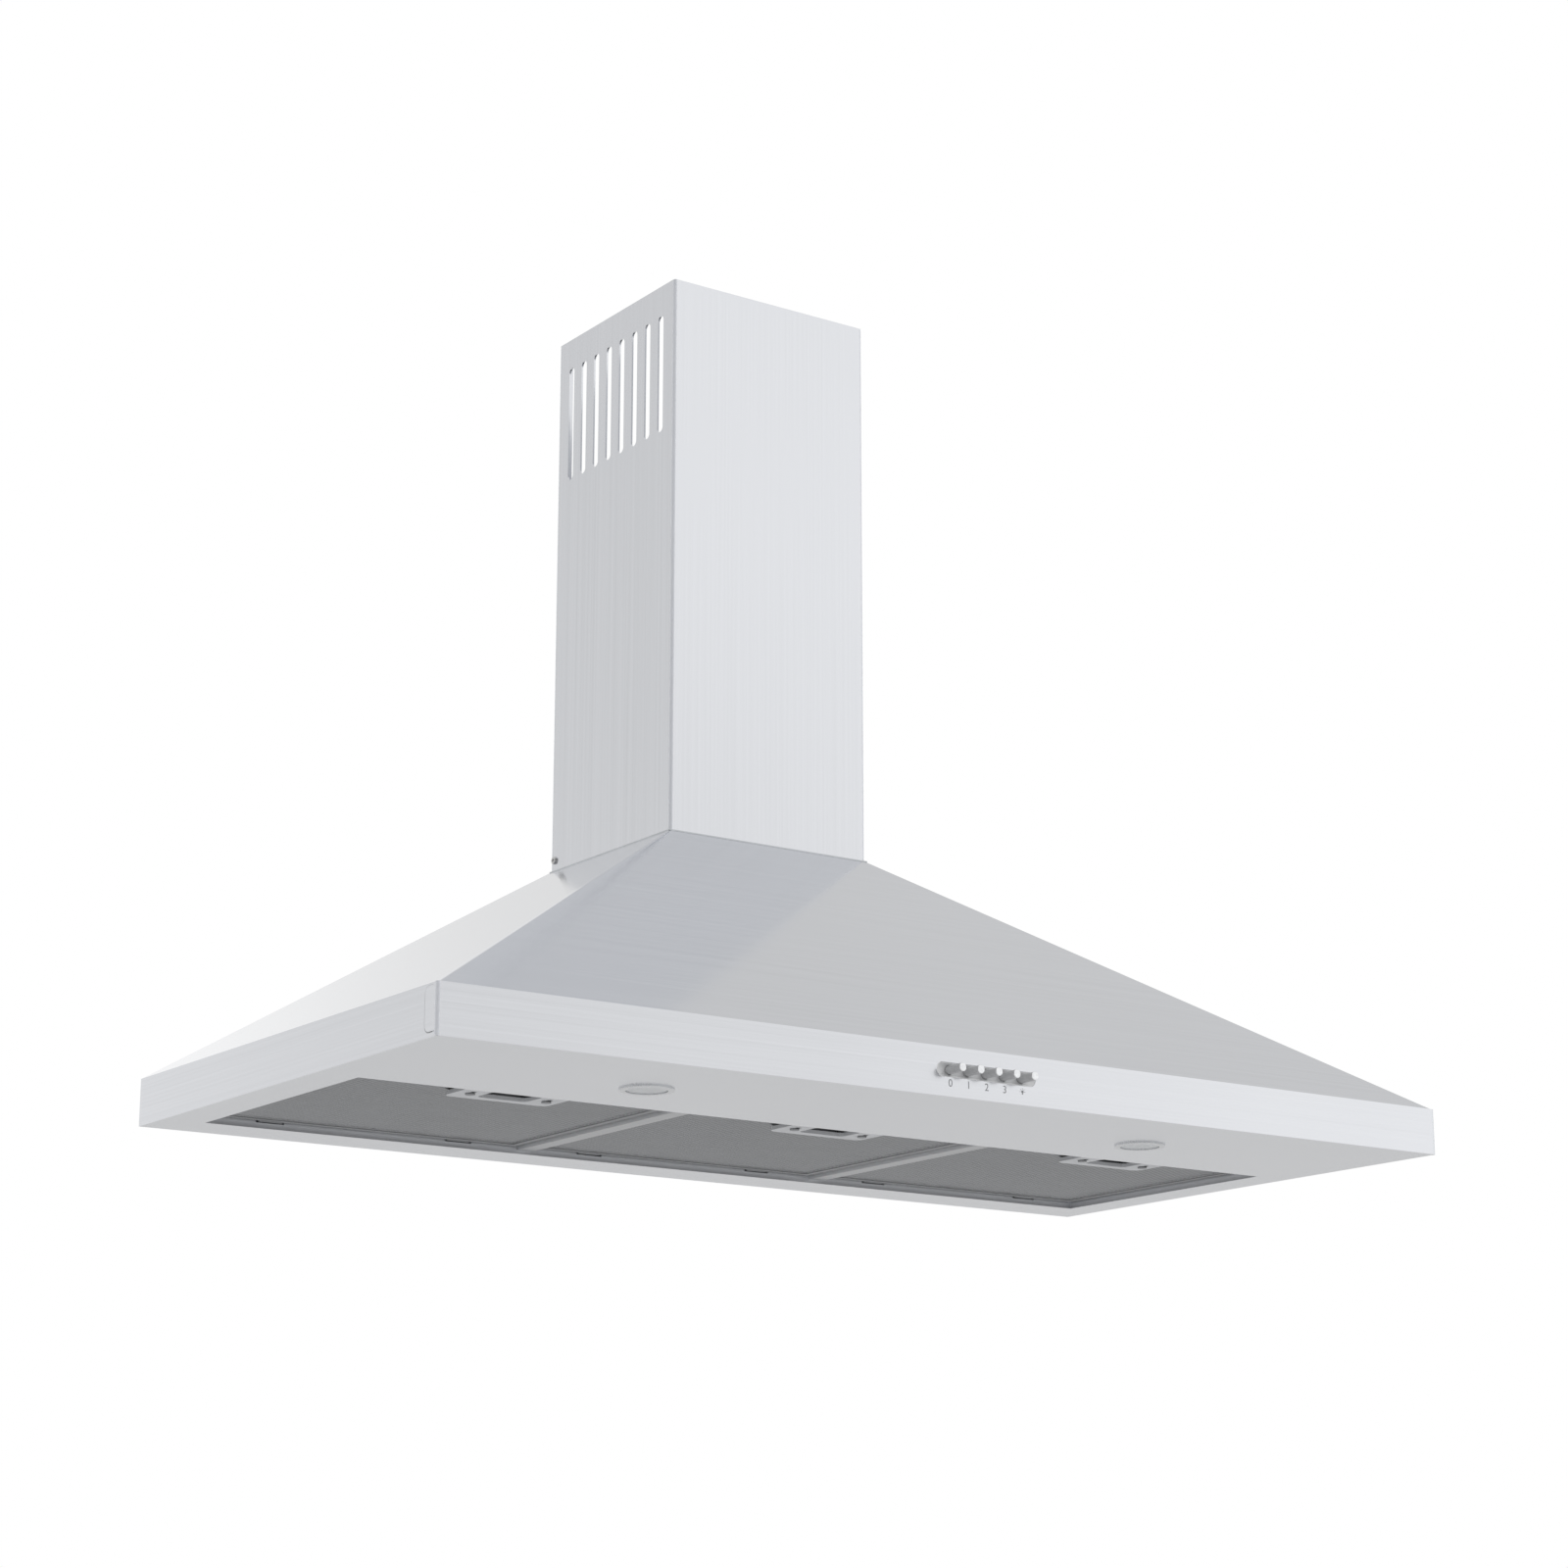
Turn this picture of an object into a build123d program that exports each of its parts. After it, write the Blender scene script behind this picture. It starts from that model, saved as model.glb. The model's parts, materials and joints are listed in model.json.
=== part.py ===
from build123d import *
import math
import os

# Wall-mounted pyramid range hood, in millimetres
# X runs to the right seen from the front, Y runs into the wall, Z is up
# The origin is on the wall plane, in the middle of the width, level with the bottom rim

# Overall sizes
HOOD_WIDTH = 1000.0
HOOD_DEPTH = 505.0
HOOD_HEIGHT = 785.0
RIM_HEIGHT = 40.0
CANOPY_HEIGHT = 270.0
CHIMNEY_WIDTH = 210.0
CHIMNEY_DEPTH = 200.0

# Sheet steel and its fits
STEEL = 1.0
BEND = 2.5
SEAT_GAP = 0.3
SHEET_FIT = 0.2
SCREW_FIT = 0.1
CUT_PAST = 5.0

# Canopy, fascia and bottom frame
TOP_LEDGE = 1.5
RETURN_FLANGE = 12.0
TAB_LENGTH = 17.5
TAB_HEIGHT = 34.0
TAB_RAISE = 4.0
TAB_CORNER = 6.0
FRAME_FLANGE = 25.0
OPENING_WIDTH = 924.0
OPENING_DEPTH = 267.0
OPENING_SETBACK = 49.0
LIP_HEIGHT = 18.0

# Wall fixing
WALL_HOLE_RADIUS = 4.5
WALL_HOLE_SPACING = 260.0
WALL_HOLE_LOW = 65.0
WALL_HOLE_HIGH = 230.0

# Chimney
CHIMNEY_RETURN = 12.0
SLIDE_GAP = 0.6
UPSTAND_HEIGHT = 18.0
UPPER_DROP = 1.0
SLOT_COUNT = 8
SLOT_PITCH = 22.1
SLOT_WIDTH = 9.0
SLOT_LENGTH = 112.0
SLOT_TOP_MARGIN = 29.0
SLOT_SIGHT = 1.5
CHIMNEY_SCREW_SETBACK = 6.5
CHIMNEY_SCREW_RAISE = 10.0
CHIMNEY_SCREW_RADIUS = 1.75
CHIMNEY_SCREW_LENGTH = 8.0
SCREW_HEAD_RADIUS = 3.6
SCREW_HEAD_THICK = 2.0

# Chimney wall bracket
BRACKET_STEEL = 1.5
BRACKET_HALF = 82.0
BRACKET_HEIGHT = 20.0
BRACKET_TOP_MARGIN = 155.0
BRACKET_EAR = 14.0
BRACKET_HOLE_SPACING = 120.0
BRACKET_HOLE_RADIUS = 3.2

# Filters and the rails between them
FILTER_COUNT = 3
RAIL_WIDTH = 15.0
RAIL_BASE = 3.0
FILTER_GAP = 2.5
FILTER_BASE = 6.0
FILTER_THICKNESS = 9.0
FILTER_SHEET = 0.8
FILTER_BORDER = 7.0
MESH_FIT = 0.3
TAB_SPREAD = 180.0
FILTER_TAB_WIDTH = 22.0
FILTER_TAB_THICKNESS = 1.2
HINGE_BEAD_RADIUS = 1.2
HINGE_SLOT_PLAY = 0.7
HINGE_SLOT_SIDE = 2.0

# Filter latch
LATCH_WIDTH = 95.0
LATCH_DEPTH = 46.0
LATCH_THICKNESS = 3.2
LATCH_CORNER = 8.0
LATCH_SETBACK = 1.0
LATCH_TRAVEL = 6.0
FINGER_WIDTH = 46.0
FINGER_DEPTH = 28.0
FINGER_CORNER = 5.0
FINGER_SETBACK = 8.0
FINGER_HEIGHT = 7.5
SEAT_MARGIN = 3.0
TONGUE_WIDTH = 28.0
TONGUE_THICKNESS = 2.0
TONGUE_GAP = 0.5
STUD_SPREAD = 70.0
STUD_SETBACK = 24.0
STUD_RADIUS = 2.0
STUD_HEAD_RADIUS = 4.0
STUD_HEAD_THICK = 1.0

# Lamps
LAMP_SPREAD = 504.0
LAMP_SETBACK = 108.0
LAMP_CUT_RADIUS = 19.0
LAMP_BEZEL_RADIUS = 22.0
LAMP_BEZEL_DROP = 1.6
LAMP_NECK_WALL = 2.2
LAMP_NECK_HEIGHT = 8.0
LENS_THICKNESS = 2.5
LAMP_CAN_RADIUS = 24.0
LAMP_CAN_HEIGHT = 22.0
LAMP_CAN_WALL = 1.5
LAMP_BOARD_RADIUS = 17.0
LAMP_BOARD_THICK = 2.0
LAMP_SOURCE_RADIUS = 11.0
LAMP_SOURCE_HEIGHT = 3.0

# Push-button switch
BUTTON_NAMES = ("stop", "low", "medium", "high", "light")
BUTTON_PITCH = 18.2
BUTTON_RADIUS = 3.5
BUTTON_REACH = 16.5
BUTTON_EDGE = 0.5
BUTTON_PLAY = 0.3
BUTTON_TRAVEL = 3.5
BUTTON_FLANGE_RADIUS = 5.0
BUTTON_FLANGE_THICK = 1.5
STEM_RADIUS = 2.5
STEM_LENGTH = 16.0
SWITCH_HEIGHT = 21.4
BEZEL_LENGTH = 100.0
BEZEL_WIDTH = 11.8
BEZEL_RECESS = 0.3
BEZEL_RIM = 3.0
BEZEL_FLANGE_THICK = 3.5
DISH_DEPTH = 2.4
DISH_EDGE = 0.5
SWITCH_BLOCK_WIDTH = 110.0
SWITCH_BLOCK_TALL = 20.0
SWITCH_BLOCK_DEPTH = 30.0
SWITCH_BLOCK_FIT = 0.5

# Blower
BLOWER_WIDTH = 150.0
BLOWER_WALL = 2.0
BLOWER_CLEARANCE = 26.0
VOLUTE_RADIUS = 85.0
VOLUTE_STEP = 18.0
BLOWER_FLANGE = 12.0
BLOWER_FLANGE_THICK = 3.0
NECK_RAISE = 2.0
NECK_SKIRT = 6.0
BLOWER_SCREW_RADIUS = 2.0
BLOWER_SCREW_LENGTH = 7.0
BLOWER_SCREW_SPREAD = 120.0
INLET_RADIUS = 60.0
INLET_RING = 10.0
INLET_PLATE = 2.0
GUARD_SPOKES = 6
GUARD_BAR = 3.0
GUARD_HUB_RADIUS = 18.0

# Impeller and motor
IMPELLER_RADIUS = 72.0
IMPELLER_WIDTH = 132.0
IMPELLER_RING = 12.0
IMPELLER_RING_THICK = 2.0
BLADE_COUNT = 36
BLADE_THICK = 1.2
BLADE_LENGTH = 11.0
BLADE_PITCH_ANGLE = 25.0
HUB_DISC_THICK = 3.0
HUB_DISC_X = -12.0
HUB_RADIUS = 11.0
HUB_REACH = 10.0
SHAFT_RADIUS = 4.0
SHAFT_FIT = 0.05
SHAFT_PAST_HUB = 8.0
SHAFT_IN_MOTOR = 14.0
NUT_ACROSS = 13.0
NUT_THICK = 5.0
MOTOR_RADIUS = 44.0
MOTOR_LENGTH = 66.0
MOTOR_EDGE = 4.0
MOTOR_BOSS_RADIUS = 12.0
MOTOR_BOSS_LENGTH = 4.0
MOTOR_ARMS = 3
MOTOR_ARM_WIDTH = 12.0
MOTOR_SCREW_RING = 34.0
MOTOR_SCREW_RADIUS = 2.0
MOTOR_SCREW_LENGTH = 9.0

# Outlet collar and back-draught flaps
DUCT_RADIUS = 74.5
COLLAR_WALL = 2.0
COLLAR_HEIGHT = 60.0
COLLAR_FLANGE = 12.0
COLLAR_FLANGE_THICK = 3.0
COLLAR_LEDGE = 4.5
COLLAR_LEDGE_RAISE = 5.0
COLLAR_LEDGE_THICK = 2.0
COLLAR_BAR = 3.0
FLAP_THICK = 1.5
FLAP_GAP = 0.8
FLAP_PIN_OFFSET = 4.5
FLAP_PIN_RADIUS = 1.2
FLAP_PIN_FIT = 0.05
FLAP_PIN_BITE = 1.1
FLAP_HINGE_ROOM = 2.5

# Control box, capacitor, terminal block, gland and lamp driver
BOX_WIDTH = 120.0
BOX_DEPTH = 45.0
BOX_TALL = 80.0
BOX_WALL = 2.0
BOX_LEFT = 160.0
BOX_BASE = 60.0
LID_THICK = 2.0
LID_SCREW_RADIUS = 1.5
LID_SCREW_LENGTH = 9.0
LID_POST_RADIUS = 4.0
LID_POST_INSET = 7.0
TERMINAL_WIDTH = 62.0
TERMINAL_DEPTH = 18.0
TERMINAL_TALL = 15.0
TERMINAL_RAISE = 8.0
TERMINAL_WAYS = 5
TERMINAL_PITCH = 11.0
TERMINAL_BORE = 2.0
CAPACITOR_RADIUS = 14.0
CAPACITOR_LENGTH = 62.0
CAPACITOR_DROP = 22.0
GLAND_RADIUS = 8.0
GLAND_BORE = 4.2
GLAND_NUT_ACROSS = 22.0
GLAND_NUT_THICK = 6.0
GLAND_CAP_RADIUS = 9.5
GLAND_CAP_HEIGHT = 12.0
GLAND_INSET = 26.0
DRIVER_LENGTH = 110.0
DRIVER_DEPTH = 30.0
DRIVER_TALL = 36.0
DRIVER_EDGE = 3.0
DRIVER_RIGHT = -160.0
DRIVER_BASE = 60.0

# Leads inside the canopy
SWITCH_LEAD_RADIUS = 3.0
SWITCH_LEAD_X = 20.0
MOTOR_LEAD_RADIUS = 2.5
MOTOR_LEAD_X = 55.0
MOTOR_LEAD_Z = 110.0
LAMP_LEAD_RADIUS = 2.0
LAMP_LEAD_RAISE = 11.0
LEAD_SHARE = 0.45

# Places worked out from the sizes above
HOOD_HALF = HOOD_WIDTH / 2
HOOD_FRONT = -HOOD_DEPTH
BODY_HALF = HOOD_HALF - STEEL
BODY_FRONT = HOOD_FRONT + STEEL
INNER_HALF = BODY_HALF - STEEL
TOP_HALF = CHIMNEY_WIDTH / 2 + TOP_LEDGE
TOP_FRONT = -CHIMNEY_DEPTH - TOP_LEDGE
SLOPE_TOP = CANOPY_HEIGHT - STEEL
SLOPE_RISE = SLOPE_TOP - RIM_HEIGHT
SIDE_RUN = BODY_HALF - TOP_HALF
FRONT_RUN = TOP_FRONT - BODY_FRONT
SIDE_LEVEL = STEEL * math.hypot(SIDE_RUN, SLOPE_RISE) / SLOPE_RISE
FRONT_LEVEL = STEEL * math.hypot(FRONT_RUN, SLOPE_RISE) / SLOPE_RISE
RETURN_BASE = RIM_HEIGHT - RETURN_FLANGE

OPENING_HALF = OPENING_WIDTH / 2
OPENING_REAR = -OPENING_SETBACK
OPENING_FRONT = OPENING_REAR - OPENING_DEPTH
BAY_WIDTH = (OPENING_WIDTH - (FILTER_COUNT - 1) * RAIL_WIDTH) / FILTER_COUNT
BAY_PITCH = BAY_WIDTH + RAIL_WIDTH
BAY_CENTRES = [(i - (FILTER_COUNT - 1) / 2) * BAY_PITCH for i in range(FILTER_COUNT)]
FILTER_HALF = BAY_WIDTH / 2 - FILTER_GAP
FILTER_FRONT = OPENING_FRONT + FILTER_GAP
FILTER_REAR = OPENING_REAR - FILTER_GAP
FILTER_TOP = FILTER_BASE + FILTER_THICKNESS
HINGE_Y = OPENING_REAR + STEEL / 2
HINGE_Z = FILTER_BASE + FILTER_TAB_THICKNESS / 2

LATCH_TOP = FILTER_BASE - SEAT_GAP
LATCH_BASE = LATCH_TOP - LATCH_THICKNESS
LATCH_FRONT = FILTER_FRONT + LATCH_SETBACK
FINGER_FRONT = LATCH_FRONT + FINGER_SETBACK
STUD_Y = LATCH_FRONT + STUD_SETBACK

SLOT_MIDDLE_Z = HOOD_HEIGHT - SLOT_TOP_MARGIN - SLOT_LENGTH / 2
CHIMNEY_MIDDLE_Y = -CHIMNEY_DEPTH / 2
UPPER_HALF = CHIMNEY_WIDTH / 2 - STEEL - SLIDE_GAP
UPPER_FRONT = -CHIMNEY_DEPTH + STEEL + SLIDE_GAP
UPPER_REAR = -STEEL - SLIDE_GAP
UPPER_BASE = CANOPY_HEIGHT + UPSTAND_HEIGHT + SEAT_GAP
UPSTAND_HALF = CHIMNEY_WIDTH / 2 - STEEL - SHEET_FIT

LAMP_CENTRES = {"left": -LAMP_SPREAD / 2, "right": LAMP_SPREAD / 2}
LAMP_Y = HOOD_FRONT + LAMP_SETBACK

BEZEL_REAR = BODY_FRONT + BEZEL_FLANGE_THICK
DISH_HALF = BEZEL_WIDTH / 2 - DISH_EDGE
DISH_RADIUS = (DISH_HALF**2 + DISH_DEPTH**2) / (2 * DISH_DEPTH)
DISH_AXIS_Y = HOOD_FRONT + BEZEL_RECESS + DISH_DEPTH - DISH_RADIUS
DISH_END = (BEZEL_LENGTH - BEZEL_WIDTH) / 2
BUTTON_PLACES = [(i - (len(BUTTON_NAMES) - 1) / 2) * BUTTON_PITCH for i in range(len(BUTTON_NAMES))]

BLOWER_HALF = BLOWER_WIDTH / 2
BLOWER_Y = CHIMNEY_MIDDLE_Y - (VOLUTE_RADIUS + 2 * VOLUTE_STEP) / 2
BLOWER_Z = BLOWER_CLEARANCE + VOLUTE_RADIUS + 1.5 * VOLUTE_STEP
SCROLL_TOP = BLOWER_Z + VOLUTE_RADIUS - VOLUTE_STEP / 2
GUARD_TOP = BLOWER_Z + INLET_RADIUS + INLET_RING
NECK_BASE = max(SCROLL_TOP + NECK_RAISE, GUARD_TOP + SEAT_GAP + NECK_SKIRT)
OUTLET_TOP = NECK_BASE - BLOWER_Z
OUTLET_LEFT = -VOLUTE_STEP / 2
OUTLET_RIGHT = VOLUTE_RADIUS + 2.5 * VOLUTE_STEP
DUCT_BORE = min((OUTLET_RIGHT - OUTLET_LEFT) / 2 - BLOWER_WALL, DUCT_RADIUS - COLLAR_WALL - COLLAR_LEDGE)
MOTOR_REAR = BLOWER_HALF
MOTOR_FRONT = MOTOR_REAR - MOTOR_LENGTH
FLAP_BASE = CANOPY_HEIGHT + COLLAR_LEDGE_RAISE + COLLAR_LEDGE_THICK + SEAT_GAP
FLAP_PIN_Z = FLAP_BASE + FLAP_THICK / 2
FLAP_RADIUS = DUCT_RADIUS - COLLAR_WALL - FLAP_GAP

BOX_REAR = -STEEL
BOX_FRONT = BOX_REAR - BOX_DEPTH
BOX_RIGHT = BOX_LEFT + BOX_WIDTH
BOX_TOP = BOX_BASE + BOX_TALL


def block(x0, x1, y0, y1, z0, z1):
    """Box between two corners."""
    return Pos((x0 + x1) / 2, (y0 + y1) / 2, (z0 + z1) / 2) * Box(x1 - x0, y1 - y0, z1 - z0)


def rod_z(x, y, z0, z1, radius):
    """Upright cylinder."""
    return Pos(x, y, (z0 + z1) / 2) * Cylinder(radius, z1 - z0)


def rod_x(x0, x1, y, z, radius):
    """Cylinder along X."""
    return Pos((x0 + x1) / 2, y, z) * Rot(0, 90, 0) * Cylinder(radius, x1 - x0)


def rod_y(x, y0, y1, z, radius):
    """Cylinder along Y."""
    return Pos(x, (y0 + y1) / 2, z) * Rot(90, 0, 0) * Cylinder(radius, y1 - y0)


def ring_x(x0, x1, y, z, outer, inner):
    """Flat ring about an axis along X."""
    return rod_x(x0, x1, y, z, outer) - rod_x(x0 - CUT_PAST, x1 + CUT_PAST, y, z, inner)


def hex_x(x0, x1, y, z, across):
    """Hexagonal bar along X."""
    outline = RegularPolygon(across / math.sqrt(3), 6)
    return extrude(Plane((x0, y, z), x_dir=(0, 1, 0), z_dir=(1, 0, 0)) * outline, x1 - x0)


def stadium(y0, y1, length, width):
    """Oblong bar with round ends along Y, centred on the switch."""
    outline = Plane((0, y1, SWITCH_HEIGHT), x_dir=(1, 0, 0), z_dir=(0, -1, 0)) * SlotOverall(length, width)
    return extrude(outline, y1 - y0)


def plan(half, front, rear, corner):
    """Level outline, round at its two front corners."""
    outline = make_face(Polyline((-half, rear), (-half, front), (half, front), (half, rear), close=True))
    return fillet(outline.vertices().group_by(Axis.Y)[0], corner)


def pyramid(low, low_z, high, high_z):
    """Straight-sided solid between two level outlines."""
    return loft([Pos(0, 0, low_z) * low, Pos(0, 0, high_z) * high], ruled=True)


def canopy_shell():
    """Front and side slopes with the side bands and the flange behind the fascia."""
    wall_bend = BEND - STEEL
    outer = pyramid(
        plan(BODY_HALF, BODY_FRONT, 0, BEND), RIM_HEIGHT, plan(TOP_HALF, TOP_FRONT, 0, BEND), SLOPE_TOP
    )
    outer += extrude(plan(BODY_HALF, BODY_FRONT, 0, BEND), RIM_HEIGHT)
    fold_z = RIM_HEIGHT - (SIDE_LEVEL - STEEL) * SLOPE_RISE / SIDE_RUN
    fold_front = BODY_FRONT + FRONT_LEVEL - (RIM_HEIGHT - fold_z) * FRONT_RUN / SLOPE_RISE
    inner = pyramid(
        plan(INNER_HALF, fold_front, CUT_PAST, wall_bend),
        fold_z,
        plan(TOP_HALF - SIDE_LEVEL, TOP_FRONT + FRONT_LEVEL, CUT_PAST, wall_bend),
        SLOPE_TOP,
    )
    inner += extrude(plan(INNER_HALF, BODY_FRONT + STEEL, CUT_PAST, wall_bend), fold_z)
    shell = outer - inner
    shell -= block(-INNER_HALF, INNER_HALF, HOOD_FRONT, BODY_FRONT + BEND, -CUT_PAST, RETURN_BASE)
    return shell - switch_notch()


def switch_notch():
    """Room for the switch block in the sheets behind the fascia."""
    half = SWITCH_BLOCK_WIDTH / 2 + SWITCH_BLOCK_FIT
    tall = SWITCH_BLOCK_TALL / 2 + SWITCH_BLOCK_FIT
    rear = BODY_FRONT + BEND
    return block(-half, half, HOOD_FRONT, rear, SWITCH_HEIGHT - tall, SWITCH_HEIGHT + tall)


def front_fascia():
    """Front panel whose ends wrap round the canopy as tabs."""
    rear = HOOD_FRONT + TAB_LENGTH
    panel = extrude(plan(HOOD_HALF, HOOD_FRONT, rear, BEND), RIM_HEIGHT)
    panel -= extrude(plan(BODY_HALF, BODY_FRONT, rear + CUT_PAST, BEND - STEEL), RIM_HEIGHT)
    tab_front = HOOD_FRONT + BEND
    panel -= block(-HOOD_WIDTH, HOOD_WIDTH, tab_front, rear, 0, TAB_RAISE)
    panel -= block(-HOOD_WIDTH, HOOD_WIDTH, tab_front, rear, TAB_RAISE + TAB_HEIGHT, RIM_HEIGHT)
    panel = fillet(panel.edges().filter_by(Axis.X).group_by(Axis.Y)[-1], TAB_CORNER)
    return panel - stadium(HOOD_FRONT - CUT_PAST, BODY_FRONT + CUT_PAST, BEZEL_LENGTH, BEZEL_WIDTH)


def bottom_frame():
    """Underside tray with the filter opening, its upturned lip and the lamp holes."""
    tray = extrude(plan(INNER_HALF, BODY_FRONT, -STEEL, BEND), FRAME_FLANGE)
    tray -= block(
        -INNER_HALF + STEEL, INNER_HALF - STEEL, BODY_FRONT + STEEL, -2 * STEEL, STEEL, FRAME_FLANGE
    )
    lip_half = OPENING_HALF + STEEL
    tray += block(-lip_half, lip_half, OPENING_FRONT - STEEL, OPENING_REAR + STEEL, 0, LIP_HEIGHT)
    tray -= block(-OPENING_HALF, OPENING_HALF, OPENING_FRONT, OPENING_REAR, -CUT_PAST, LIP_HEIGHT)
    for x in LAMP_CENTRES.values():
        tray -= rod_z(x, LAMP_Y, -CUT_PAST, STEEL + CUT_PAST, LAMP_CUT_RADIUS + SHEET_FIT)
    for centre in BAY_CENTRES:
        for x in (centre - TAB_SPREAD / 2, centre + TAB_SPREAD / 2):
            tray -= hinge_slot(x)
        tray -= tongue_window(centre)
    return tray - switch_notch()


def hinge_slot(x):
    """Slot in the rear lip for one hinge tab of a filter."""
    half = FILTER_TAB_WIDTH / 2 + HINGE_SLOT_SIDE
    tall = HINGE_BEAD_RADIUS + HINGE_SLOT_PLAY
    front, rear = OPENING_REAR - STEEL, OPENING_REAR + 2 * STEEL
    return block(x - half, x + half, front, rear, HINGE_Z - tall, HINGE_Z + tall)


def tongue_window(centre):
    """Window in the front lip that the latch tongue points at."""
    half = TONGUE_WIDTH / 2 + HINGE_SLOT_SIDE
    low = LATCH_TOP - TONGUE_THICKNESS - HINGE_SLOT_PLAY
    high = LATCH_TOP + HINGE_SLOT_PLAY
    return block(centre - half, centre + half, OPENING_FRONT - 2 * STEEL, OPENING_FRONT + STEEL, low, high)


def back_panel():
    """Wall panel inside the canopy, with the holes for the wall screws."""
    slope_x = SIDE_RUN / SLOPE_RISE
    low = INNER_HALF - SHEET_FIT
    fold_z = RIM_HEIGHT - (SIDE_LEVEL - STEEL) / slope_x
    high = TOP_HALF - SIDE_LEVEL - SHEET_FIT
    right = [(low, 0), (low, fold_z), (high, SLOPE_TOP)]
    left = [(-x, z) for x, z in reversed(right)]
    outline = make_face(Polyline(*right, *left, close=True))
    panel = extrude(Plane((0, 0, 0), x_dir=(1, 0, 0), z_dir=(0, -1, 0)) * outline, STEEL)
    for x in (-WALL_HOLE_SPACING / 2, WALL_HOLE_SPACING / 2):
        for z in (WALL_HOLE_LOW, WALL_HOLE_HIGH):
            panel -= rod_y(x, -CUT_PAST, CUT_PAST, z, WALL_HOLE_RADIUS)
    return panel


def filter_rail(x):
    """Channel between two filters, across the opening from lip to lip."""
    half = RAIL_WIDTH / 2
    rail = block(x - half, x + half, OPENING_FRONT, OPENING_REAR, RAIL_BASE, LIP_HEIGHT)
    return rail - block(
        x - half + STEEL, x + half - STEEL, OPENING_FRONT, OPENING_REAR, RAIL_BASE + STEEL, LIP_HEIGHT
    )


def screw_hole_x(half, radius):
    """Holes for the two chimney screws through walls on both sides."""
    z = CANOPY_HEIGHT + CHIMNEY_SCREW_RAISE
    return rod_x(-half, half, -CHIMNEY_SCREW_SETBACK, z, radius)


def top_plate():
    """Plate on top of the slopes with the outlet hole and the upstand inside the chimney foot."""
    plate = block(-TOP_HALF, TOP_HALF, TOP_FRONT, 0, SLOPE_TOP, CANOPY_HEIGHT)
    front = -CHIMNEY_DEPTH + STEEL + SHEET_FIT
    rear = -BEND - SHEET_FIT
    rim = extrude(plan(UPSTAND_HALF, front, rear, BEND), UPSTAND_HEIGHT)
    rim -= extrude(plan(UPSTAND_HALF - STEEL, front + STEEL, rear + CUT_PAST, BEND - STEEL), UPSTAND_HEIGHT)
    plate += Pos(0, 0, CANOPY_HEIGHT) * rim
    plate -= rod_z(0, CHIMNEY_MIDDLE_Y, SLOPE_TOP - CUT_PAST, CANOPY_HEIGHT + CUT_PAST, DUCT_BORE)
    for x, y in blower_screw_places():
        plate -= rod_z(x, y, SLOPE_TOP - CUT_PAST, CANOPY_HEIGHT + CUT_PAST, BLOWER_SCREW_RADIUS + SCREW_FIT)
    return plate - screw_hole_x(CHIMNEY_WIDTH, CHIMNEY_SCREW_RADIUS + SCREW_FIT)


def folded_cover(half, front, rear, base, top):
    """Chimney cover folded from one sheet, open at the back between two return flanges."""
    def closed(inset, corner):
        outline = make_face(
            Polyline(
                (-half + inset, rear - inset),
                (-half + inset, front + inset),
                (half - inset, front + inset),
                (half - inset, rear - inset),
                close=True,
            )
        )
        return Pos(0, 0, base) * extrude(fillet(outline.vertices(), corner), top - base)

    mouth = half - CHIMNEY_RETURN
    return closed(0, BEND) - closed(STEEL, BEND - STEEL) - block(-mouth, mouth, rear - BEND, rear, base, top)


def vent_slots(margin):
    """Row of upright slots through both sides of a chimney cover."""
    outline = SlotOverall(SLOT_LENGTH + 2 * margin, SLOT_WIDTH + 2 * margin, rotation=90)
    cutters = []
    for i in range(SLOT_COUNT):
        y = CHIMNEY_MIDDLE_Y + (i - (SLOT_COUNT - 1) / 2) * SLOT_PITCH
        place = Plane((-CHIMNEY_WIDTH, y, SLOT_MIDDLE_Z), x_dir=(0, 1, 0), z_dir=(1, 0, 0))
        cutters.append(extrude(place * outline, 2 * CHIMNEY_WIDTH))
    return cutters


def lower_chimney():
    """Outer chimney cover standing on the canopy."""
    cover = folded_cover(CHIMNEY_WIDTH / 2, -CHIMNEY_DEPTH, 0, CANOPY_HEIGHT, HOOD_HEIGHT)
    cover -= vent_slots(0)
    return cover - screw_hole_x(CHIMNEY_WIDTH, CHIMNEY_SCREW_RADIUS + SCREW_FIT)


def upper_chimney():
    """Inner chimney cover, pushed down inside the outer one."""
    cover = folded_cover(UPPER_HALF, UPPER_FRONT, UPPER_REAR, UPPER_BASE, HOOD_HEIGHT - UPPER_DROP)
    return cover - vent_slots(SLOT_SIGHT)


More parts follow.
